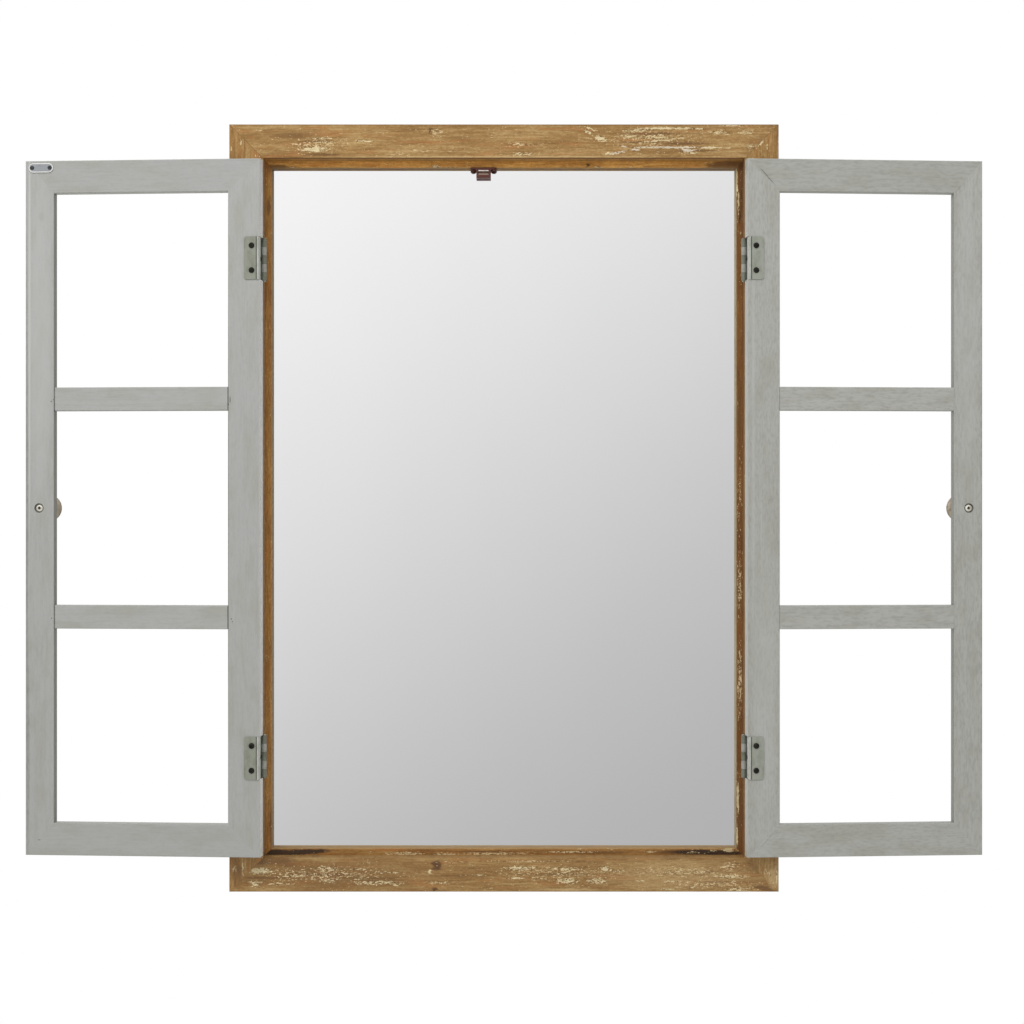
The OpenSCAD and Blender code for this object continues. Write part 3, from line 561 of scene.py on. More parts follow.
def brushed_enamel(name, side, along, shift, wear, edge, tone):
    """Satin grey oil enamel brushed over pine, so that the long grain still shows faintly through the coat.

    The wear gives lists of marks on the inner face: dirt, and painted light, which lays painted highlights
    along lit arrises and lighter areas over parts of the stiles. Edge is the colour of the narrow faces; on
    the stiles it is painted light and shade, a painted highlight on the hinge edges and painted shade on the
    free stiles. Tone makes the wide faces lighter or darker.
    """
    enamel = bpy.context.scene.mirror_enamel
    if side == "left":
        grey, thin, stroked, scuffed = enamel.left_grey, 0.5, 0.12, 0.1
    else:
        grey, thin, stroked, scuffed = enamel.right_grey, 0.6, 0.16, 0.27
    material, tree = new_material(name)
    place = shutter_space(tree, side)
    axes = add(tree, "ShaderNodeSeparateXYZ", {"Vector": place})
    # Bristles leave finer strokes than these, which are as coarse as they need to be to show
    cloud = grain(tree, place, along, 16, 45, shift)
    strokes = grain(tree, place, along, 1.8, 40, shift + 17)
    hairs = grain(tree, place, along, 1.9, 7, shift + 29)
    paint = tinted(grey, "#FFFFFF", tone)
    paint = coat(tree, paint, enamel.olive_grey, (cloud, 0.42, 0.72, 0.0, thin))
    paint = coat(tree, paint, enamel.scuffed_grey, (strokes, 0.45, 0.72, 0.0, stroked))
    paint = coat(tree, paint, enamel.scuffed_grey, (hairs, 0.42, 0.68, 0.0, scuffed))
    dirt = sums(tree, (marks(tree, place, INNER_FACE, wear["dirt"]), 1.0), (hairs, 0.3))
    paint = coat(tree, paint, linear("#3F3C33"), (dirt, 0.15, 1.15))
    # Painted highlights along lit arrises, and painted light over parts of the stiles
    paint = coat(tree, paint, enamel.painted_highlight_grey, marks(tree, place, INNER_FACE, wear["painted_light"]))
    # The narrow faces, between the inner and the outer one, take the edge colour with streaks of thin enamel;
    # on the stiles that colour is painted light and shade
    behind = mask(tree, ((axes, "Y"), INNER_FACE - 0.3, INNER_FACE - 0.9))
    outer = mask(tree, ((axes, "Y"), OUTER_FACE + 1.2, OUTER_FACE + 0.6))
    narrow = add(tree, "ShaderNodeMath", {"operation": "SUBTRACT", 0: behind, 1: outer})
    worn = coat(tree, linear(edge), enamel.olive_grey, (hairs, 0.35, 0.7, 0.0, 0.3))
    paint = coat(tree, paint, worn, narrow)
    height = sums(tree, (strokes, 0.5), (hairs, 0.5))
    shade(tree, paint, {"IOR": 1.5}, (strokes, 0.35, 0.7, 0.38, 0.52), height, enamel.relief, 0.7)
    return material


# ---------------- glass and board


def silvered_glass():
    """Float glass silvered on its back: it mirrors the studio sharply, with a trace of grey in the silver."""
    material, tree = new_material("silvered float glass")
    haze = grain(tree, part_space(tree), "Z", 140, 200)
    silver = coat(tree, linear("#FBFBFB"), linear("#F8F8F8"), haze)
    shade(tree, silver, {"Metallic": 1.0, "Roughness": 0.0})
    return material


def hardboard():
    """Tempered hardboard: pressed brown fibres, smooth and slightly oily."""
    material, tree = new_material("tempered hardboard")
    place = part_space(tree)
    fibre = grain(tree, place, "X", 0.9, 4, detail=4.0)
    tuft = grain(tree, place, "Z", 0.9, 5, 13, detail=4.0)
    cloud = grain(tree, place, "Z", 60, 80, 29)
    mixed = sums(tree, (fibre, 0.4), (tuft, 0.4), (cloud, 0.2))
    ramp = [(0.35, linear("#4A3120")), (0.5, linear("#6B4A31")), (0.7, linear("#8C6A49"))]
    board = add(tree, "ShaderNodeValToRGB", {"ramp": ramp, "Fac": mixed})
    shade(tree, board, {"Roughness": 0.55, "IOR": 1.5}, None, mixed, 0.15 * MM, 0.6)
    return material


# ---------------- metal and plastic


def plated_metal(name, colour, dull, roughness, grit=1.2, blotch=9.0):
    """Plated or blackened steel: even plate with tumbling marks, duller blotches and a little relief.

    Real tumbling marks are finer, and these are as coarse as they need to be to show.
    """
    material, tree = new_material(name)
    place = part_space(tree)
    cloud = grain(tree, place, "Z", blotch, blotch)
    speck = grain(tree, place, "X", grit, grit, 41, detail=3.0)
    tarnish = mask(tree, (sums(tree, (cloud, 0.6), (speck, 0.4)), 0.42, 0.68))
    plate = coat(tree, colour, dull, tarnish)
    shade(tree, plate, {"Metallic": 1.0}, (tarnish, 0.0, 1.0, roughness, roughness + 0.2), speck, 0.04 * MM)
    return material


def zinc_plate(name, roughness):
    """Passivated zinc: pale grey where it is whole, and duller in blotches."""
    return plated_metal(name, bpy.context.scene.mirror_metal.zinc, linear("#8E908C"), roughness)


def hinge_enamel(side, leaf):
    """Sheet steel under stoved grey enamel: mottled grey-green, with painted highlights on the door leaf's
    bend and narrow face, and painted shade in its crease and on the outer half of that face.
    """
    metal = bpy.context.scene.mirror_metal
    material, tree = new_material(f"stoved enamel, {side} {leaf} leaves")
    place = shutter_space(tree, side)
    axes = add(tree, "ShaderNodeSeparateXYZ", {"Vector": place})
    out, deep = (axes, "X"), (axes, "Y")
    cloud = grain(tree, place, "Z", 6, 9)
    speck = grain(tree, place, "X", 0.8, 0.8, 23, detail=3.0)
    dirt = mask(tree, (sums(tree, (cloud, 0.6), (speck, 0.4)), 0.42, 0.68, 0.0, 0.7))
    base = metal.knuckle_grey
    if leaf == "door":
        # The flap and, from 4 mm off the pin, the bend, made lighter as a painted highlight. Then the narrow
        # face, bright as a painted highlight and dark on its outer half as painted shadow from the mortise,
        # the knuckles, and a dark line of painted shade in the crease where the bend starts.
        flap = metal.hinge_grey if side == "left" else linear("#A0A398")
        base = coat(tree, flap, linear("#BCBFB7"), (out, 4.3, 3.7))
        base = coat(tree, base, metal.bend_highlight_grey, (deep, INNER_FACE - 0.2, INNER_FACE - 1.0))
        base = coat(tree, base, linear("#4C4E4A"), (deep, 12.0, 9.0))
        base = coat(tree, base, linear("#A5A69E"), (deep, OUTER_FACE + 0.6, OUTER_FACE))
        base = coat(tree, base, linear("#5A5C52"), (out, 3.8, 4.2), (out, 5.6, 4.8))
    mottled = add(
        tree,
        "ShaderNodeMix",
        {"data_type": "RGBA", "blend_type": "MULTIPLY", "Factor": dirt, "A": base, "B": linear("#D2D5CA")},
    )
    shade(tree, mottled, {"IOR": 1.5}, (cloud, 0.35, 0.7, 0.36, 0.5), speck, 0.05 * MM)
    return material


def strike_nickel():
    """Nickel-plated strike plate: a painted highlight on its rim round a dish, and in the dish a darker,
    bluer painted reflection of the room.
    """
    material, tree = new_material("nickel plated strike")
    place = shutter_space(tree, "left")
    axes = add(tree, "ShaderNodeSeparateXYZ", {"Vector": place})
    speck = grain(tree, place, "X", 0.9, 5, 41, detail=3.0)
    # A bright rim of painted highlight, and a darker dish of painted reflection
    rim = ((axes, "Y"), INNER_FACE + 0.8, INNER_FACE + 0.95)
    plate = coat(tree, linear("#A6A9AD"), bpy.context.scene.mirror_metal.nickel, rim)
    plate = coat(tree, plate, linear("#8F9499"), (speck, 0.5, 0.75, 0.0, 0.35))
    shade(tree, plate, {"Metallic": 1.0}, (speck, 0.3, 0.7, 0.26, 0.42), speck, 0.03 * MM)
    return material


def pole_steel():
    """Nickel-plated pole plates: brushed, with the lower one dulled by the strike plate's wear."""
    material, tree = new_material("nickel plated poles")
    place = part_space(tree)
    axes = add(tree, "ShaderNodeSeparateXYZ", {"Vector": place})
    brushed = grain(tree, place, "X", 0.4, 6, 11, detail=3.0)
    middle = (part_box("catch_pole_plates")[0].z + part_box("catch_pole_plates")[1].z) / 2 / MM
    lower = ((axes, "Z"), middle + 0.5, middle - 0.5)
    plate = coat(tree, linear("#F6EEE6"), linear("#B09A8C"), lower)
    plate = coat(tree, plate, linear("#A38F82"), (brushed, 0.45, 0.7, 0.0, 0.5))
    shade(tree, plate, {"Metallic": 1.0}, (brushed, 0.3, 0.7, 0.24, 0.4), brushed, 0.02 * MM)
    return material


def socket_screw(side):
    """Bright nickel head of the knob's screw, with dirt and painted shade in its drive recess."""
    material, tree = new_material(f"bright nickel screw, {side}")
    place = shutter_space(tree, side)
    speck = grain(tree, place, "Y", 0.6, 3, 7, detail=3.0)
    head = coat(tree, linear("#FFFCF0"), linear("#D8CDB4"), (speck, 0.5, 0.75, 0.0, 0.5))
    # Dirt and painted shade darken the drive recess
    recess = marks(tree, place, INNER_FACE, [(KNOB_OUT, 0, DRIVE_RADIUS, DRIVE_RADIUS, 1.0)])
    head = coat(tree, head, linear("#4A3826"), recess)
    shade(tree, head, {"Metallic": 0.5}, (recess, 0.0, 1.0, 0.25, 0.7), speck, 0.02 * MM, 0.4)
    return material


def moulded_plastic():
    """Brown polypropylene, moulded: satin, with a fine spark-eroded grain and paler scuffs."""
    material, tree = new_material("brown moulded polypropylene")
    place = part_space(tree)
    speck = grain(tree, place, "X", 0.5, 0.5, detail=3.0)
    scuff = grain(tree, place, "X", 1.4, 7, 37, detail=3.0)
    brown = bpy.context.scene.mirror_metal.catch_brown
    brown = coat(tree, brown, linear("#7A5448"), (scuff, 0.55, 0.75, 0.0, 0.5))
    shade(tree, brown, {"IOR": 1.49}, (scuff, 0.4, 0.7, 0.36, 0.52), speck, 0.05 * MM)
    return material


def ferrite():
    """Resin-bonded ferrite magnet: brown, matt and slightly gritty."""
    material, tree = new_material("bonded ferrite")
    grit = grain(tree, part_space(tree), "X", 0.4, 0.4, detail=4.0)
    brown = coat(tree, linear("#4E3228"), linear("#75503F"), grit)
    shade(tree, brown, {"IOR": 1.6}, (grit, 0.3, 0.7, 0.6, 0.8), grit, 0.05 * MM)
    return material


def beech():
    """Beech dowel: pale pinkish wood with short dark flecks."""
    material, tree = new_material("beech dowel")
    place = part_space(tree)
    fleck = grain(tree, place, "X", 0.4, 2.4, detail=3.0)
    rings = grain(tree, place, "X", 2, 40, 19)
    pale = coat(tree, linear("#D9BC94"), linear("#C9A47A"), (rings, 0.4, 0.65))
    pale = coat(tree, pale, linear("#9C744D"), (fleck, 0.6, 0.75, 0.0, 0.6))
    shade(tree, pale, {"IOR": 1.5}, (fleck, 0.4, 0.7, 0.55, 0.7), fleck, 0.08 * MM)
    return material


# ---------------- pieces


def dress(material, *nodes):
    """Gives packed nodes their finish."""
    for node in nodes:
        mesh = frame["nodes"][node].data
        mesh.materials.clear()
        mesh.materials.append(material)


# The wear on the front of the box frame, in mm from the middle of the top rail:
# x, z, half length, half height, strength, and for a turned mark its angle in degrees
TOP_WEAR = {
    "cream": [
        (-208, -5, 39, 12, 0.8), (-212, -9, 22, 4.5, 1.7), (-203, 3, 20, 2.5, 1.0),
        (-228, -3, 15, 2, 1.0), (-178, -1, 11, 11, 0.5), (-156, 0.5, 16, 1.4, 1.9),
        (-271, 12, 9, 1.1, 1.0), (-98, -9.5, 5.5, 1.1, 1.2), (-75, 10, 10, 7.5, 0.8),
        (20, -3.5, 27, 4, 0.8), (20, -14, 20, 3, 0.95), (-89, -10.5, 6, 3.3, 0.8),
        (-57, -10.5, 10, 1.7, 0.8), (93, 10.5, 7, 2.2, 2.2, -32), (97, 14, 12, 1.9, 1.3, -26),
        (107, 3.5, 9, 4.7, 1.9, -14), (115, -13.5, 9, 1.9, 1.3, 6), (178, 14.5, 42, 1.6, 2.2),
        (214, 14, 13, 1.2, 1.5), (165, 3, 70, 13, 0.7), (149, 12, 24, 3.2, 1.0),
        (139, 5.5, 20, 3, 1.15), (165, 6, 34, 3.5, 0.95), (176, 1, 18, 1.5, 1.7),
        (238, 10, 22, 5, 0.85), (228, -7, 20, 1.4, 2.8), (248, -7.5, 5, 0.9, 1.5),
        (208, -13, 12, 1.2, 1.4), (269, 10.5, 13, 4.7, 0.85), (285, -2, 9, 1.7, 1.7, 49),
        (292, -7, 4, 1.7, 1.5, -73), (273, -5.5, 7, 4, 0.9), (281, -15.5, 4.5, 1.7, 0.9),
        (296, 11, 1.1, 5, 1.0), (252, 17.5, 19, 1.1, 1.6),
    ],
    "chalk": [
        (135, -6, 7, 1.2, 1.8, -12), (146, -9, 9, 2.4, 1.8), (127, -12.5, 14, 1.8, 1.8, 16),
        (180, -6.5, 50, 1.5, 2.3), (204, -10, 11, 2.6, 2.0),
    ],
    "pale": [(0, -17.2, 268, 1.6, 0.9)],
    "smoked_and_shade": [
        (-232, 7, 39, 5.6, 0.55), (-201, -14.5, 27, 2.2, 1.0), (-210, 0, 34, 1.6, 0.8),
        (279, -3, 22, 9, 0.3, 45), (-49, 3.5, 22, 4.4, 0.35), (15, 9.5, 14, 1.3, 0.5),
        (165, 8.5, 60, 2, 0.8), (200, -2.5, 45, 2.2, 0.9), (215, -10.5, 35, 1.8, 0.8),
        (150, -1, 35, 1.8, 0.7),
    ],
    "knots": [(-82, 11.5, 2.4, 5, 1.2)],
}
BOTTOM_WEAR = {
    "cream": [
        (-289, -810, 5.6, 7.8, 1.0), (-271, -810, 17, 5.3, 1.7), (-234, -815, 26, 3.3, 1.0),
        (-276, -824, 9.4, 6, 1.1), (-249, -824, 22, 2.3, 1.1), (-194, -808, 22, 6.7, 1.1),
        (-163, -808, 14, 3.6, 0.9), (-194, -820.5, 14, 5, 1.05), (-139, -822.5, 48, 4.2, 1.0),
        (-120, -825.5, 5.6, 1.7, 1.6), (-126, -811.5, 19, 1.7, 0.8), (-81, -810.5, 2.2, 4, 1.9),
        (19, -807, 27, 4.2, 1.3), (73, -808, 33, 4.7, 0.9), (112, -808, 7, 4.7, 1.8),
        (11, -818, 17, 1, 1.7), (39, -818.5, 14, 1.1, 1.3), (70, -820.5, 20, 6, 1.3),
        (103, -820.5, 17, 5, 1.15), (-27, -814.5, 10.5, 1.7, 1.0), (-72, -823, 21, 2.8, 0.85),
        (27, -799, 96, 1.4, 0.8), (126, -810, 10.5, 1.1, 1.3), (151, -821, 8, 1.1, 1.3),
        (188, -821.5, 13, 1.1, 1.5), (181, -830, 14, 1.6, 1.2), (251, -816, 27, 3.4, 1.2),
        (251, -805, 19, 7, 0.85), (261, -830, 25, 4.2, 1.0), (209, -828, 8, 2.2, 1.1),
        (205, -811, 85, 9, 0.62), (235, -825, 60, 6, 0.7), (60, -812, 110, 10, 0.62),
        (-200, -813, 110, 13, 0.65),
    ],
    "smoked_and_shade": [
        (-258, -798, 38, 7, 1.1), (-238, -803, 26, 5, 0.6), (-265, -817.5, 40, 2, 0.9),
        (-195, -814, 60, 2, 0.9), (-150, -818, 60, 1.6, 0.7), (-60, -815, 60, 1.8, 0.6),
        (60, -813.5, 60, 1.8, 0.7), (215, -811, 60, 1.6, 0.6), (240, -822, 45, 1.8, 0.7),
        (-295, -813, 13, 18, 0.45), (288, -829, 20, 4.4, 0.9, -12), (-201, -820, 25, 6.7, 0.35),
        (-96, -810, 25, 10, 0.3), (-29, -806.5, 25, 4.4, 0.3), (-190, -815, 150, 30, 0.45),
    ],
    "pale": [
        (299, -816, 11, 18, 0.9), (70, -830.5, 53, 2.2, 0.8), (184, -801, 122, 5.3, 0.25),
        (190, -815, 130, 30, 0.46),
    ],
    "knots": [(-75, -804, 7.5, 8.3, 1.0), (-78, -830.5, 3.6, 3.6, 1.1)],
}
LEFT_WEAR = {
    "cream": [
        (-292, -1, 1.2, 4, 2.2), (-302.5, -9, 1.1, 4, 1.9), (-276, -15, 1.2, 3.2, 2.0),
        (-301, 16, 1.7, 3.3, 1.2, -45), (-299, -807, 4.4, 5, 1.0), (-290, -807, 1, 11, 2.0),
    ],
    "smoked_and_shade": [(-295, -813, 13, 18, 0.5)],
}
RIGHT_WEAR = {
    "cream": [
        (285, -2, 9, 1.7, 1.7, 49), (292, -7, 4, 1.7, 1.5, -73), (296, 11, 1.1, 5, 1.0),
        (305, -2, 0.7, 17, 1.0), (302.5, -815.5, 1.1, 15.5, 1.2), (292, -811.5, 1.1, 8.3, 1.3, 62),
    ],
    "pale": [(299, -816, 11, 18, 0.9)],
}
BEAD_WEAR = {
    "top": {
        "cream": [
            (-77, -25, 5.6, 2.2, 1.9), (-67, -26, 29, 0.9, 1.5), (-237, -25.5, 4.5, 1.3, 1.3),
            (105, -25.5, 9, 1.3, 1.0), (141, -25, 4, 0.9, 1.2),
        ],
        # Painted shade in the corners at both ends of the top bead
        "smoked_and_shade": [(252, -25, 32, 9, 1.6), (-256, -27, 22, 6, 1.3)],
        "knots": [(93, -23.5, 4.5, 3, 1.0)],
    },
    "bottom": {
        "cream": [
            (-112, -794.5, 32, 4.2, 1.35), (-66, -795, 30, 3.6, 1.2), (-10, -794, 60, 3, 1.1),
            (70, -792, 50, 1.5, 1.2), (-30, -797.5, 16, 1, 1.5), (16, -797, 11, 1.5, 1.6),
            (87, -797, 10.5, 1.1, 1.5), (164, -791.5, 13, 1.3, 1.6), (211, -792.5, 10.5, 1.7, 1.1),
            (234, -790.5, 6.7, 1.7, 1.2), (251, -789.5, 9.5, 3.6, 1.9),
        ],
        "smoked_and_shade": [
            (107, -792.5, 60, 2.8, 0.75), (209, -792, 62, 4.5, 1.2), (-20, -791.5, 60, 1.3, 0.9),
            (10, -797.5, 90, 1.3, 0.8),
        ],
        # Wedges of painted shadow at both ends of the bottom bead, where the stiles would shade it
        "charred_and_shadow": [
            (-252, -793, 24, 5, 1.8), (-228, -792, 42, 3.6, 1.6, 3), (225, -792, 50, 3.2, 1.6),
            (245, -793.5, 28, 4.5, 1.6),
        ],
    },
    "left": {
        "smoked_and_shade": [(-263.5, -70, 4, 16, 0.8), (-261, -762, 2.2, 34, 0.9)],
    },
    "right": {
        "cream": [
            (260.3, -44, 1.7, 20, 2.6), (262.3, -66, 1.2, 18, 2.2), (263.5, -390, 4, 90, 0.5),
            (263.5, -493, 4, 50, 0.9), (264, -600, 4, 66, 1.0), (261.6, -730, 1.7, 24, 2.6),
            (260.8, -774, 1.4, 16, 2.4),
        ],
        "smoked_and_shade": [(263.5, -308, 4, 60, 0.6), (264.5, -60, 3.5, 55, 1.2), (264, -745, 4, 50, 0.7)],
        "charred_and_shadow": [(265.5, -58, 2, 30, 0.45), (263.6, -82, 0.9, 10, 1.5)],
    },
}


class MIRROR_OT_box_frame(bpy.types.Operator):
    """Finishes the four mitred timbers of the box frame and the nails in their mitres"""

    bl_idname = "mirror.box_frame"
    bl_label = "Box frame"

    def execute(self, context):
        # The top rail's arris strength paints a line of shadow round its edge of the opening, and the right
        # stile's side colour is darkened as painted shade.
        for stick, along, shift, side, wear, tone, seam, arris in (
            ("top_rail", "X", 0.0, "#B07C2C", TOP_WEAR, "#FFFEFA", 0.35, 0.9),
            ("bottom_rail", "X", 11.0, "#9C7844", BOTTOM_WEAR, "#F6F2E8", 0.3, 0.0),
            ("left_stile", "Z", 23.0, "#92714A", LEFT_WEAR, "#FBF5EA", 0.5, 0.0),
            ("right_stile", "Z", 37.0, "#6F5133", RIGHT_WEAR, "#FFFBF2", 0.3, 0.0),
        ):
            name = "stained fir, " + stick.replace("_", " ")
            finish = stained_fir(name, along, shift, side, wear, tone, 1.0, seam, arris)
            dress(finish, "frame_" + stick)
        dress(zinc_plate("zinc plated nails", 0.38), "frame_corner_nails")
        return {"FINISHED"}


class MIRROR_OT_stop_beads(bpy.types.Operator):
    """Finishes the four lengths of bead that the shutters and the glass rest against"""

    bl_idname = "mirror.stop_beads"
    bl_label = "Stop beads"

    def execute(self, context):
        # Each bead has its own tone, gain and side colour. The top bead's gain lifts it out of the shade
        # under the top rail, and the right bead's tone and gain darken it where the lamp falls on it: painted
        # light and painted shade. The last column is the painted shade in the corner against the glass.
        for level, along, shift, side, tone, gain, glass_corner_shade in (
            ("top", "X", 41.0, "#8A7248", "#FFEDBC", 1.9, 0.6),
            ("bottom", "X", 47.0, "#B2935E", "#F4E2C6", 1.0, 0.4),
            ("left", "Z", 53.0, "#A08C68", "#E8D5B4", 1.28, 0.3),
            ("right", "Z", 59.0, "#B8AE8C", "#C9AC8A", 0.94, 0.0),
        ):
            name = f"stained fir bead, {level}"
            finish = stained_fir(name, along, shift, side, BEAD_WEAR[level], tone, gain, 0.3, glass_corner_shade, True)
            dress(finish, "stop_bead_" + level)
        return {"FINISHED"}


class MIRROR_OT_glazing(bpy.types.Operator):
    """Finishes the mirror glass, the board behind it and the points that hold the board"""

    bl_idname = "mirror.glazing"
    bl_label = "Glass and backing"

    def execute(self, context):
        dress(silvered_glass(), "mirror_glass")
        dress(hardboard(), "backing_board")
        dress(zinc_plate("zinc plated glazing points", 0.38), "glazing_points")
        return {"FINISHED"}


# Marks on the shutters' inner faces, in the same order, in mm from the pin and from the middle of the height
SHUTTER_WEAR = {
    "left": {
        "dirt": [
            (234.5, 118, 1, 1, 1.0), (232, 120, 0.8, 0.8, 0.8), (34, 119, 0.8, 6, 0.7),
            (36, 114, 1, 1.4, 1.0), (234, -122, 0.9, 0.9, 0.9), (32.5, -122, 1, 0.9, 1.0),
            (31.5, -125, 0.8, 0.9, 0.8), (248, -367.5, 2.5, 1, 0.5), (245, 323, 5, 7, 0.22),
            (262, 0, 2.2, 420, 0.35), (261, -270, 3, 180, 0.35), (36.4, 0, 1.0, 380, 0.75),
            (230.8, 0, 1.2, 380, 0.7),
        ],
        # Painted highlights along the free and hinge arrises, and painted light over the free stile's upper
        # part
        "painted_light": [(259, 220, 2.0, 330, 0.9), (247, 190, 18, 240, 0.4), (1, 0, 1.4, 420, 0.45)],
    },
    "right": {
        "dirt": [
            (22.5, 365, 20.2, 0.9, 0.5, -48), (237.5, 354.5, 9.5, 0.8, 0.35, 45),
            (22.5, -365, 20.2, 0.7, 0.35, 48), (262.8, 0, 1.6, 420, 0.25),
        ],
        # Painted highlight near the hinge edge, and painted light over parts of both stiles
        "painted_light": [
            (7, 60, 2.5, 300, 0.35), (16, -90, 1.5, 180, 0.25), (247, 190, 18, 240, 0.3),
            (19, -200, 18, 220, 0.3),
        ],
    },
}


class MIRROR_OT_shutters(bpy.types.Operator):
    """Finishes the painted sticks of both shutters and their dowels"""

    bl_idname = "mirror.shutters"
    bl_label = "Shutters"

    def execute(self, context):
        # Each stick is a shade lighter or darker than the next. Its narrow faces are dark grey on the free
        # stiles, as painted shade, and pale grey on the hinge stiles, as a painted highlight.
        sticks = {
            "left_hinge_stile": (0.99, "#F2F3F0"),
            "left_free_stile": (0.985, "#85867F"),
            "left_top_rail": (0.955, "#BFC0BA"),
            "left_bottom_rail": (0.985, "#A3A49E"),
            "left_upper_muntin": (1.01, "#A3A49E"),
            "left_lower_muntin": (1.01, "#A3A49E"),
            "right_hinge_stile": (1.02, "#CACBC4"),
            "right_free_stile": (1.045, "#85867F"),
            "right_top_rail": (0.975, "#B4B5AF"),
            "right_bottom_rail": (1.04, "#A3A49E"),
            "right_upper_muntin": (1.07, "#A3A49E"),
            "right_lower_muntin": (1.06, "#A3A49E"),
        }
        for number, (stick, (tone, edge)) in enumerate(sticks.items()):
            side = stick.split("_")[0]
            along = "Z" if stick.endswith("stile") else "X"
            name = "brushed grey enamel, " + stick.replace("_", " ")
            finish = brushed_enamel(name, side, along, 10.0 * number, SHUTTER_WEAR[side], edge, tone)
            dress(finish, stick)
        dress(beech(), "left_dowels", "right_dowels")
        return {"FINISHED"}


class MIRROR_OT_hinges(bpy.types.Operator):
    """Finishes the four wrap hinges, their pins and screws"""

    bl_idname = "mirror.hinges"
    bl_label = "Hinges"

    def execute(self, context):
        pins = []
        for side in ("left", "right"):
            for leaf in ("frame", "door"):
                dress(hinge_enamel(side, leaf), f"{side}_upper_{leaf}_leaf", f"{side}_lower_{leaf}_leaf")
            pins += [f"{side}_upper_hinge_pin", f"{side}_lower_hinge_pin"]
        dress(zinc_plate("zinc plated pins", 0.35), *pins)
        steel = context.scene.mirror_metal.black_screw
        black = plated_metal("oil-blackened steel screws", steel, linear("#24231F"), 0.42)
        dress(black, "frame_leaf_screws", "left_leaf_screws", "right_leaf_screws")
        return {"FINISHED"}


class MIRROR_OT_knobs(bpy.types.Operator):
    """Finishes the two mushroom knobs and the machine screws that hold them"""

    bl_idname = "mirror.knobs"
    bl_label = "Knobs"

    def execute(self, context):
        bronze = context.scene.mirror_metal.bronze
        turned = plated_metal("antique bronze", bronze, linear("#998F80"), 0.42, 0.9, 6.0)
        dress(turned, "left_knob", "right_knob")
        for side in ("left", "right"):
            dress(socket_screw(side), side + "_knob_screw")
        return {"FINISHED"}


class MIRROR_OT_catch(bpy.types.Operator):
    """Finishes the magnetic catch under the top bead and its strike plate on the left shutter"""

    bl_idname = "mirror.catch"
    bl_label = "Magnetic catch"

    def execute(self, context):
        dress(moulded_plastic(), "catch_housing")
        dress(ferrite(), "catch_magnet")
        dress(pole_steel(), "catch_pole_plates")
        dress(strike_nickel(), "strike_plate")
        grey = plated_metal("blued steel screws", linear("#5A5D60"), linear("#3E4042"), 0.4)
        dress(grey, "strike_screws")
        brown = plated_metal("brown lacquered screws", linear("#6B4A40"), linear("#4A312A"), 0.4)
        dress(brown, "catch_screws")
        return {"FINISHED"}


class MIRROR_OT_hangers(bpy.types.Operator):
    """Finishes the two keyhole hangers let into the back, and their screws"""

    bl_idname = "mirror.hangers"
    bl_label = "Keyhole hangers"

    def execute(self, context):
        plate = zinc_plate("zinc plated hangers", 0.36)
        dress(plate, "hanger_left", "hanger_right", "hanger_screws")
        return {"FINISHED"}


# ---------------- studio


def studio_world(studio):
    """White behind the part, a grey sweep in its reflections, and even light for its matt surfaces."""
    world = bpy.data.worlds.new("studio")
    bpy.context.scene.world = world
    world.use_nodes = True
    tree = world.node_tree
    tree.nodes.clear()
    sky = add(tree, "ShaderNodeTexCoord")
    way = add(tree, "ShaderNodeSeparateXYZ", {"Vector": (sky, "Generated")})
    # The dark end of the room lies 55 degrees below the level line, to the right of the camera
    lean = math.radians(55)
    down = sums(tree, ((way, "X"), math.cos(lean)), ((way, "Z"), -math.sin(lean)))
    depth = add(tree, "ShaderNodeMath", {"operation": "ABSOLUTE", 0: (way, "Y")})
    depth = add(tree, "ShaderNodeMath", {"operation": "MAXIMUM", 0: depth, 1: 0.3})
    slope = add(tree, "ShaderNodeMath", {"operation": "DIVIDE", 0: down, 1: depth})
    sweep = mask(tree, (slope, *SWEEP_SLOPES, studio.reflection_bright, studio.reflection_dark))
    ray = add(tree, "ShaderNodeLightPath")
    mirrored = add(
        tree,
        "ShaderNodeMath",
        {"operation": "MAXIMUM", 0: (ray, "Is Glossy Ray"), 1: (ray, "Is Transmission Ray")},
    )
    light = add(
        tree,
        "ShaderNodeMix",
        {"data_type": "FLOAT", "Factor": mirrored, "A": studio.room_light, "B": sweep},
    )
    light = add(
        tree,
        "ShaderNodeMix",
        {"data_type": "FLOAT", "Factor": (ray, "Is Camera Ray"), "A": light, "B": 1.0},
    )
    background = add(tree, "ShaderNodeBackground", {"Color": WHITE, "Strength": light})
    add(tree, "ShaderNodeOutputWorld", {"Surface": background})


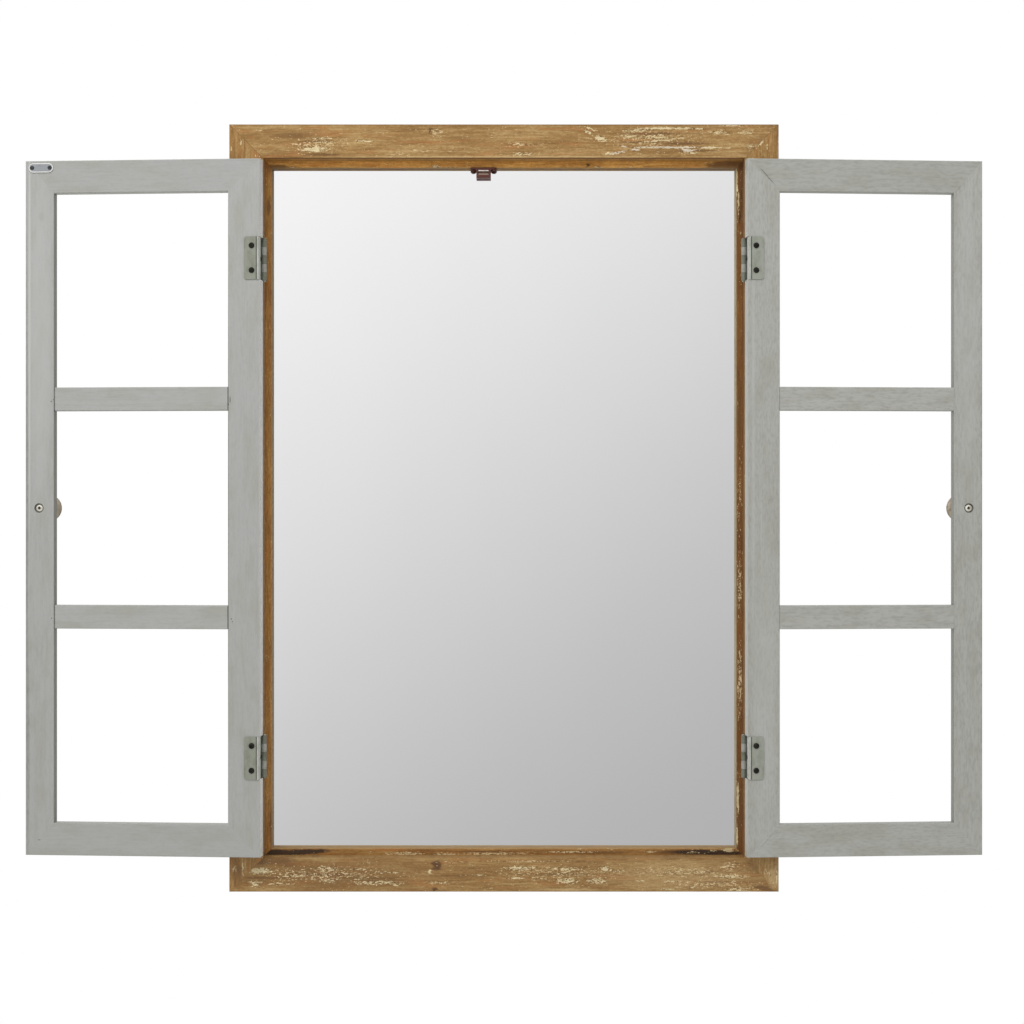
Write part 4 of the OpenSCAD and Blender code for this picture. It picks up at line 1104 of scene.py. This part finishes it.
def matt_floor_paint(drop):
    """Matt near-white paint, which runs out to pure white where the camera sees it far from the part."""
    material, tree = new_material("matt studio floor")
    place = add(tree, "ShaderNodeTexCoord")
    centred = add(
        tree,
        "ShaderNodeMapping",
        {
            "vector_type": "TEXTURE",
            "Location": (0.0, -0.3, drop),
            "Scale": (1.5, 1.0, 1.0),
            "Vector": (place, "Object"),
        },
    )
    far = add(tree, "ShaderNodeVectorMath", {"operation": "LENGTH", "Vector": centred})
    ray = add(tree, "ShaderNodeLightPath")
    fade = mask(tree, (far, 0.5, 1.1))
    fade = add(tree, "ShaderNodeMath", {"operation": "MULTIPLY", 0: fade, 1: (ray, "Is Camera Ray")})
    matt = add(tree, "ShaderNodeBsdfDiffuse", {"Color": linear("#F2F1EE")})
    white = add(tree, "ShaderNodeEmission", {"Color": WHITE, "Strength": 1.0})
    seen = add(tree, "ShaderNodeMixShader", {0: fade, 1: matt, 2: white})
    clear = add(tree, "ShaderNodeBsdfTransparent")
    side = add(tree, "ShaderNodeNewGeometry")
    shown = add(tree, "ShaderNodeMixShader", {0: (side, "Backfacing"), 1: seen, 2: clear})
    add(tree, "ShaderNodeOutputMaterial", {"Surface": shown})
    return material


def pale_floor(drop):
    """A pale floor under the part that keeps its shadow, and can't be seen from below."""
    work = bmesh.new()
    bmesh.ops.create_grid(work, x_segments=12, y_segments=8, size=0.5)
    bmesh.ops.scale(work, vec=(*FLOOR_SIZE, 1.0), verts=work.verts)
    bmesh.ops.translate(work, vec=(0.0, FLOOR_MIDDLE, drop), verts=work.verts)
    mesh = bpy.data.meshes.new("studio_floor")
    work.to_mesh(mesh)
    work.free()
    mesh.materials.append(matt_floor_paint(drop))
    floor = bpy.data.objects.new("studio_floor", mesh)
    bpy.context.scene.collection.objects.link(floor)


def soft_lamp(name, place, target, size, power):
    """A square area lamp at a place, aimed at a target, which reflections don't show."""
    data = bpy.data.lights.new(name, "AREA")
    data.shape = "SQUARE"
    data.size = size
    data.energy = power
    lamp = bpy.data.objects.new(name, data)
    bpy.context.scene.collection.objects.link(lamp)
    lamp.location = place
    lamp.rotation_euler = (Vector(target) - Vector(place)).to_track_quat("-Z", "Y").to_euler()
    lamp.visible_glossy = False


class MIRROR_OT_studio(bpy.types.Operator):
    """Sets up the camera, the lamp, the surroundings and the floor"""

    bl_idname = "mirror.studio"
    bl_label = "Studio"

    def execute(self, context):
        studio = context.scene.mirror_studio
        data = bpy.data.cameras.new("camera")
        data.lens = studio.lens
        data.sensor_width = SENSOR
        data.sensor_fit = "HORIZONTAL"
        camera = bpy.data.objects.new("camera", data)
        context.scene.collection.objects.link(camera)
        camera.location = (studio.camera_x, -studio.camera_away, studio.camera_height)
        camera.rotation_euler = (math.radians(90), 0.0, 0.0)
        context.scene.camera = camera
        soft_lamp("key", KEY_PLACE, OPENING, studio.key_size, studio.key_power)
        studio_world(studio)
        pale_floor(studio.floor_drop)
        context.scene.view_settings.view_transform = "Standard"
        return {"FINISHED"}


# ---------------- panel and registration


class MIRROR_PT_panel(bpy.types.Panel):
    """Lists the steps and their settings"""

    bl_idname = "MIRROR_PT_panel"
    bl_label = "Shutter mirror"
    bl_space_type = "VIEW_3D"
    bl_region_type = "UI"
    bl_category = "Mirror"

    def draw(self, context):
        layout = self.layout
        for step_class in STEPS:
            layout.operator(step_class.bl_idname)
        for name, group in GROUPS.items():
            box = layout.box()
            box.label(text=group.__doc__)
            settings = getattr(context.scene, name)
            for key in group.__annotations__:
                box.prop(settings, key)


STEPS = (
    MIRROR_OT_box_frame,
    MIRROR_OT_stop_beads,
    MIRROR_OT_glazing,
    MIRROR_OT_shutters,
    MIRROR_OT_hinges,
    MIRROR_OT_knobs,
    MIRROR_OT_catch,
    MIRROR_OT_hangers,
    MIRROR_OT_studio,
)
GROUPS = {
    "mirror_studio": StudioSettings,
    "mirror_timber": TimberSettings,
    "mirror_enamel": EnamelSettings,
    "mirror_metal": MetalSettings,
}


def register():
    """Adds the settings, the steps and the panel to Blender."""
    for group in GROUPS.values():
        bpy.utils.register_class(group)
    for step_class in STEPS:
        bpy.utils.register_class(step_class)
    bpy.utils.register_class(MIRROR_PT_panel)
    for name, group in GROUPS.items():
        setattr(bpy.types.Scene, name, PointerProperty(type=group))


def unregister():
    """Takes them out again."""
    for name in GROUPS:
        delattr(bpy.types.Scene, name)
    bpy.utils.unregister_class(MIRROR_PT_panel)
    for step_class in reversed(STEPS):
        bpy.utils.unregister_class(step_class)
    for group in reversed(GROUPS.values()):
        bpy.utils.unregister_class(group)


def main():
    """Runs every step in order."""
    register()
    bpy.ops.mirror.box_frame()
    bpy.ops.mirror.stop_beads()
    bpy.ops.mirror.glazing()
    bpy.ops.mirror.shutters()
    bpy.ops.mirror.hinges()
    bpy.ops.mirror.knobs()
    bpy.ops.mirror.catch()
    bpy.ops.mirror.hangers()
    bpy.ops.mirror.studio()


if __name__ == "__main__":
    main()
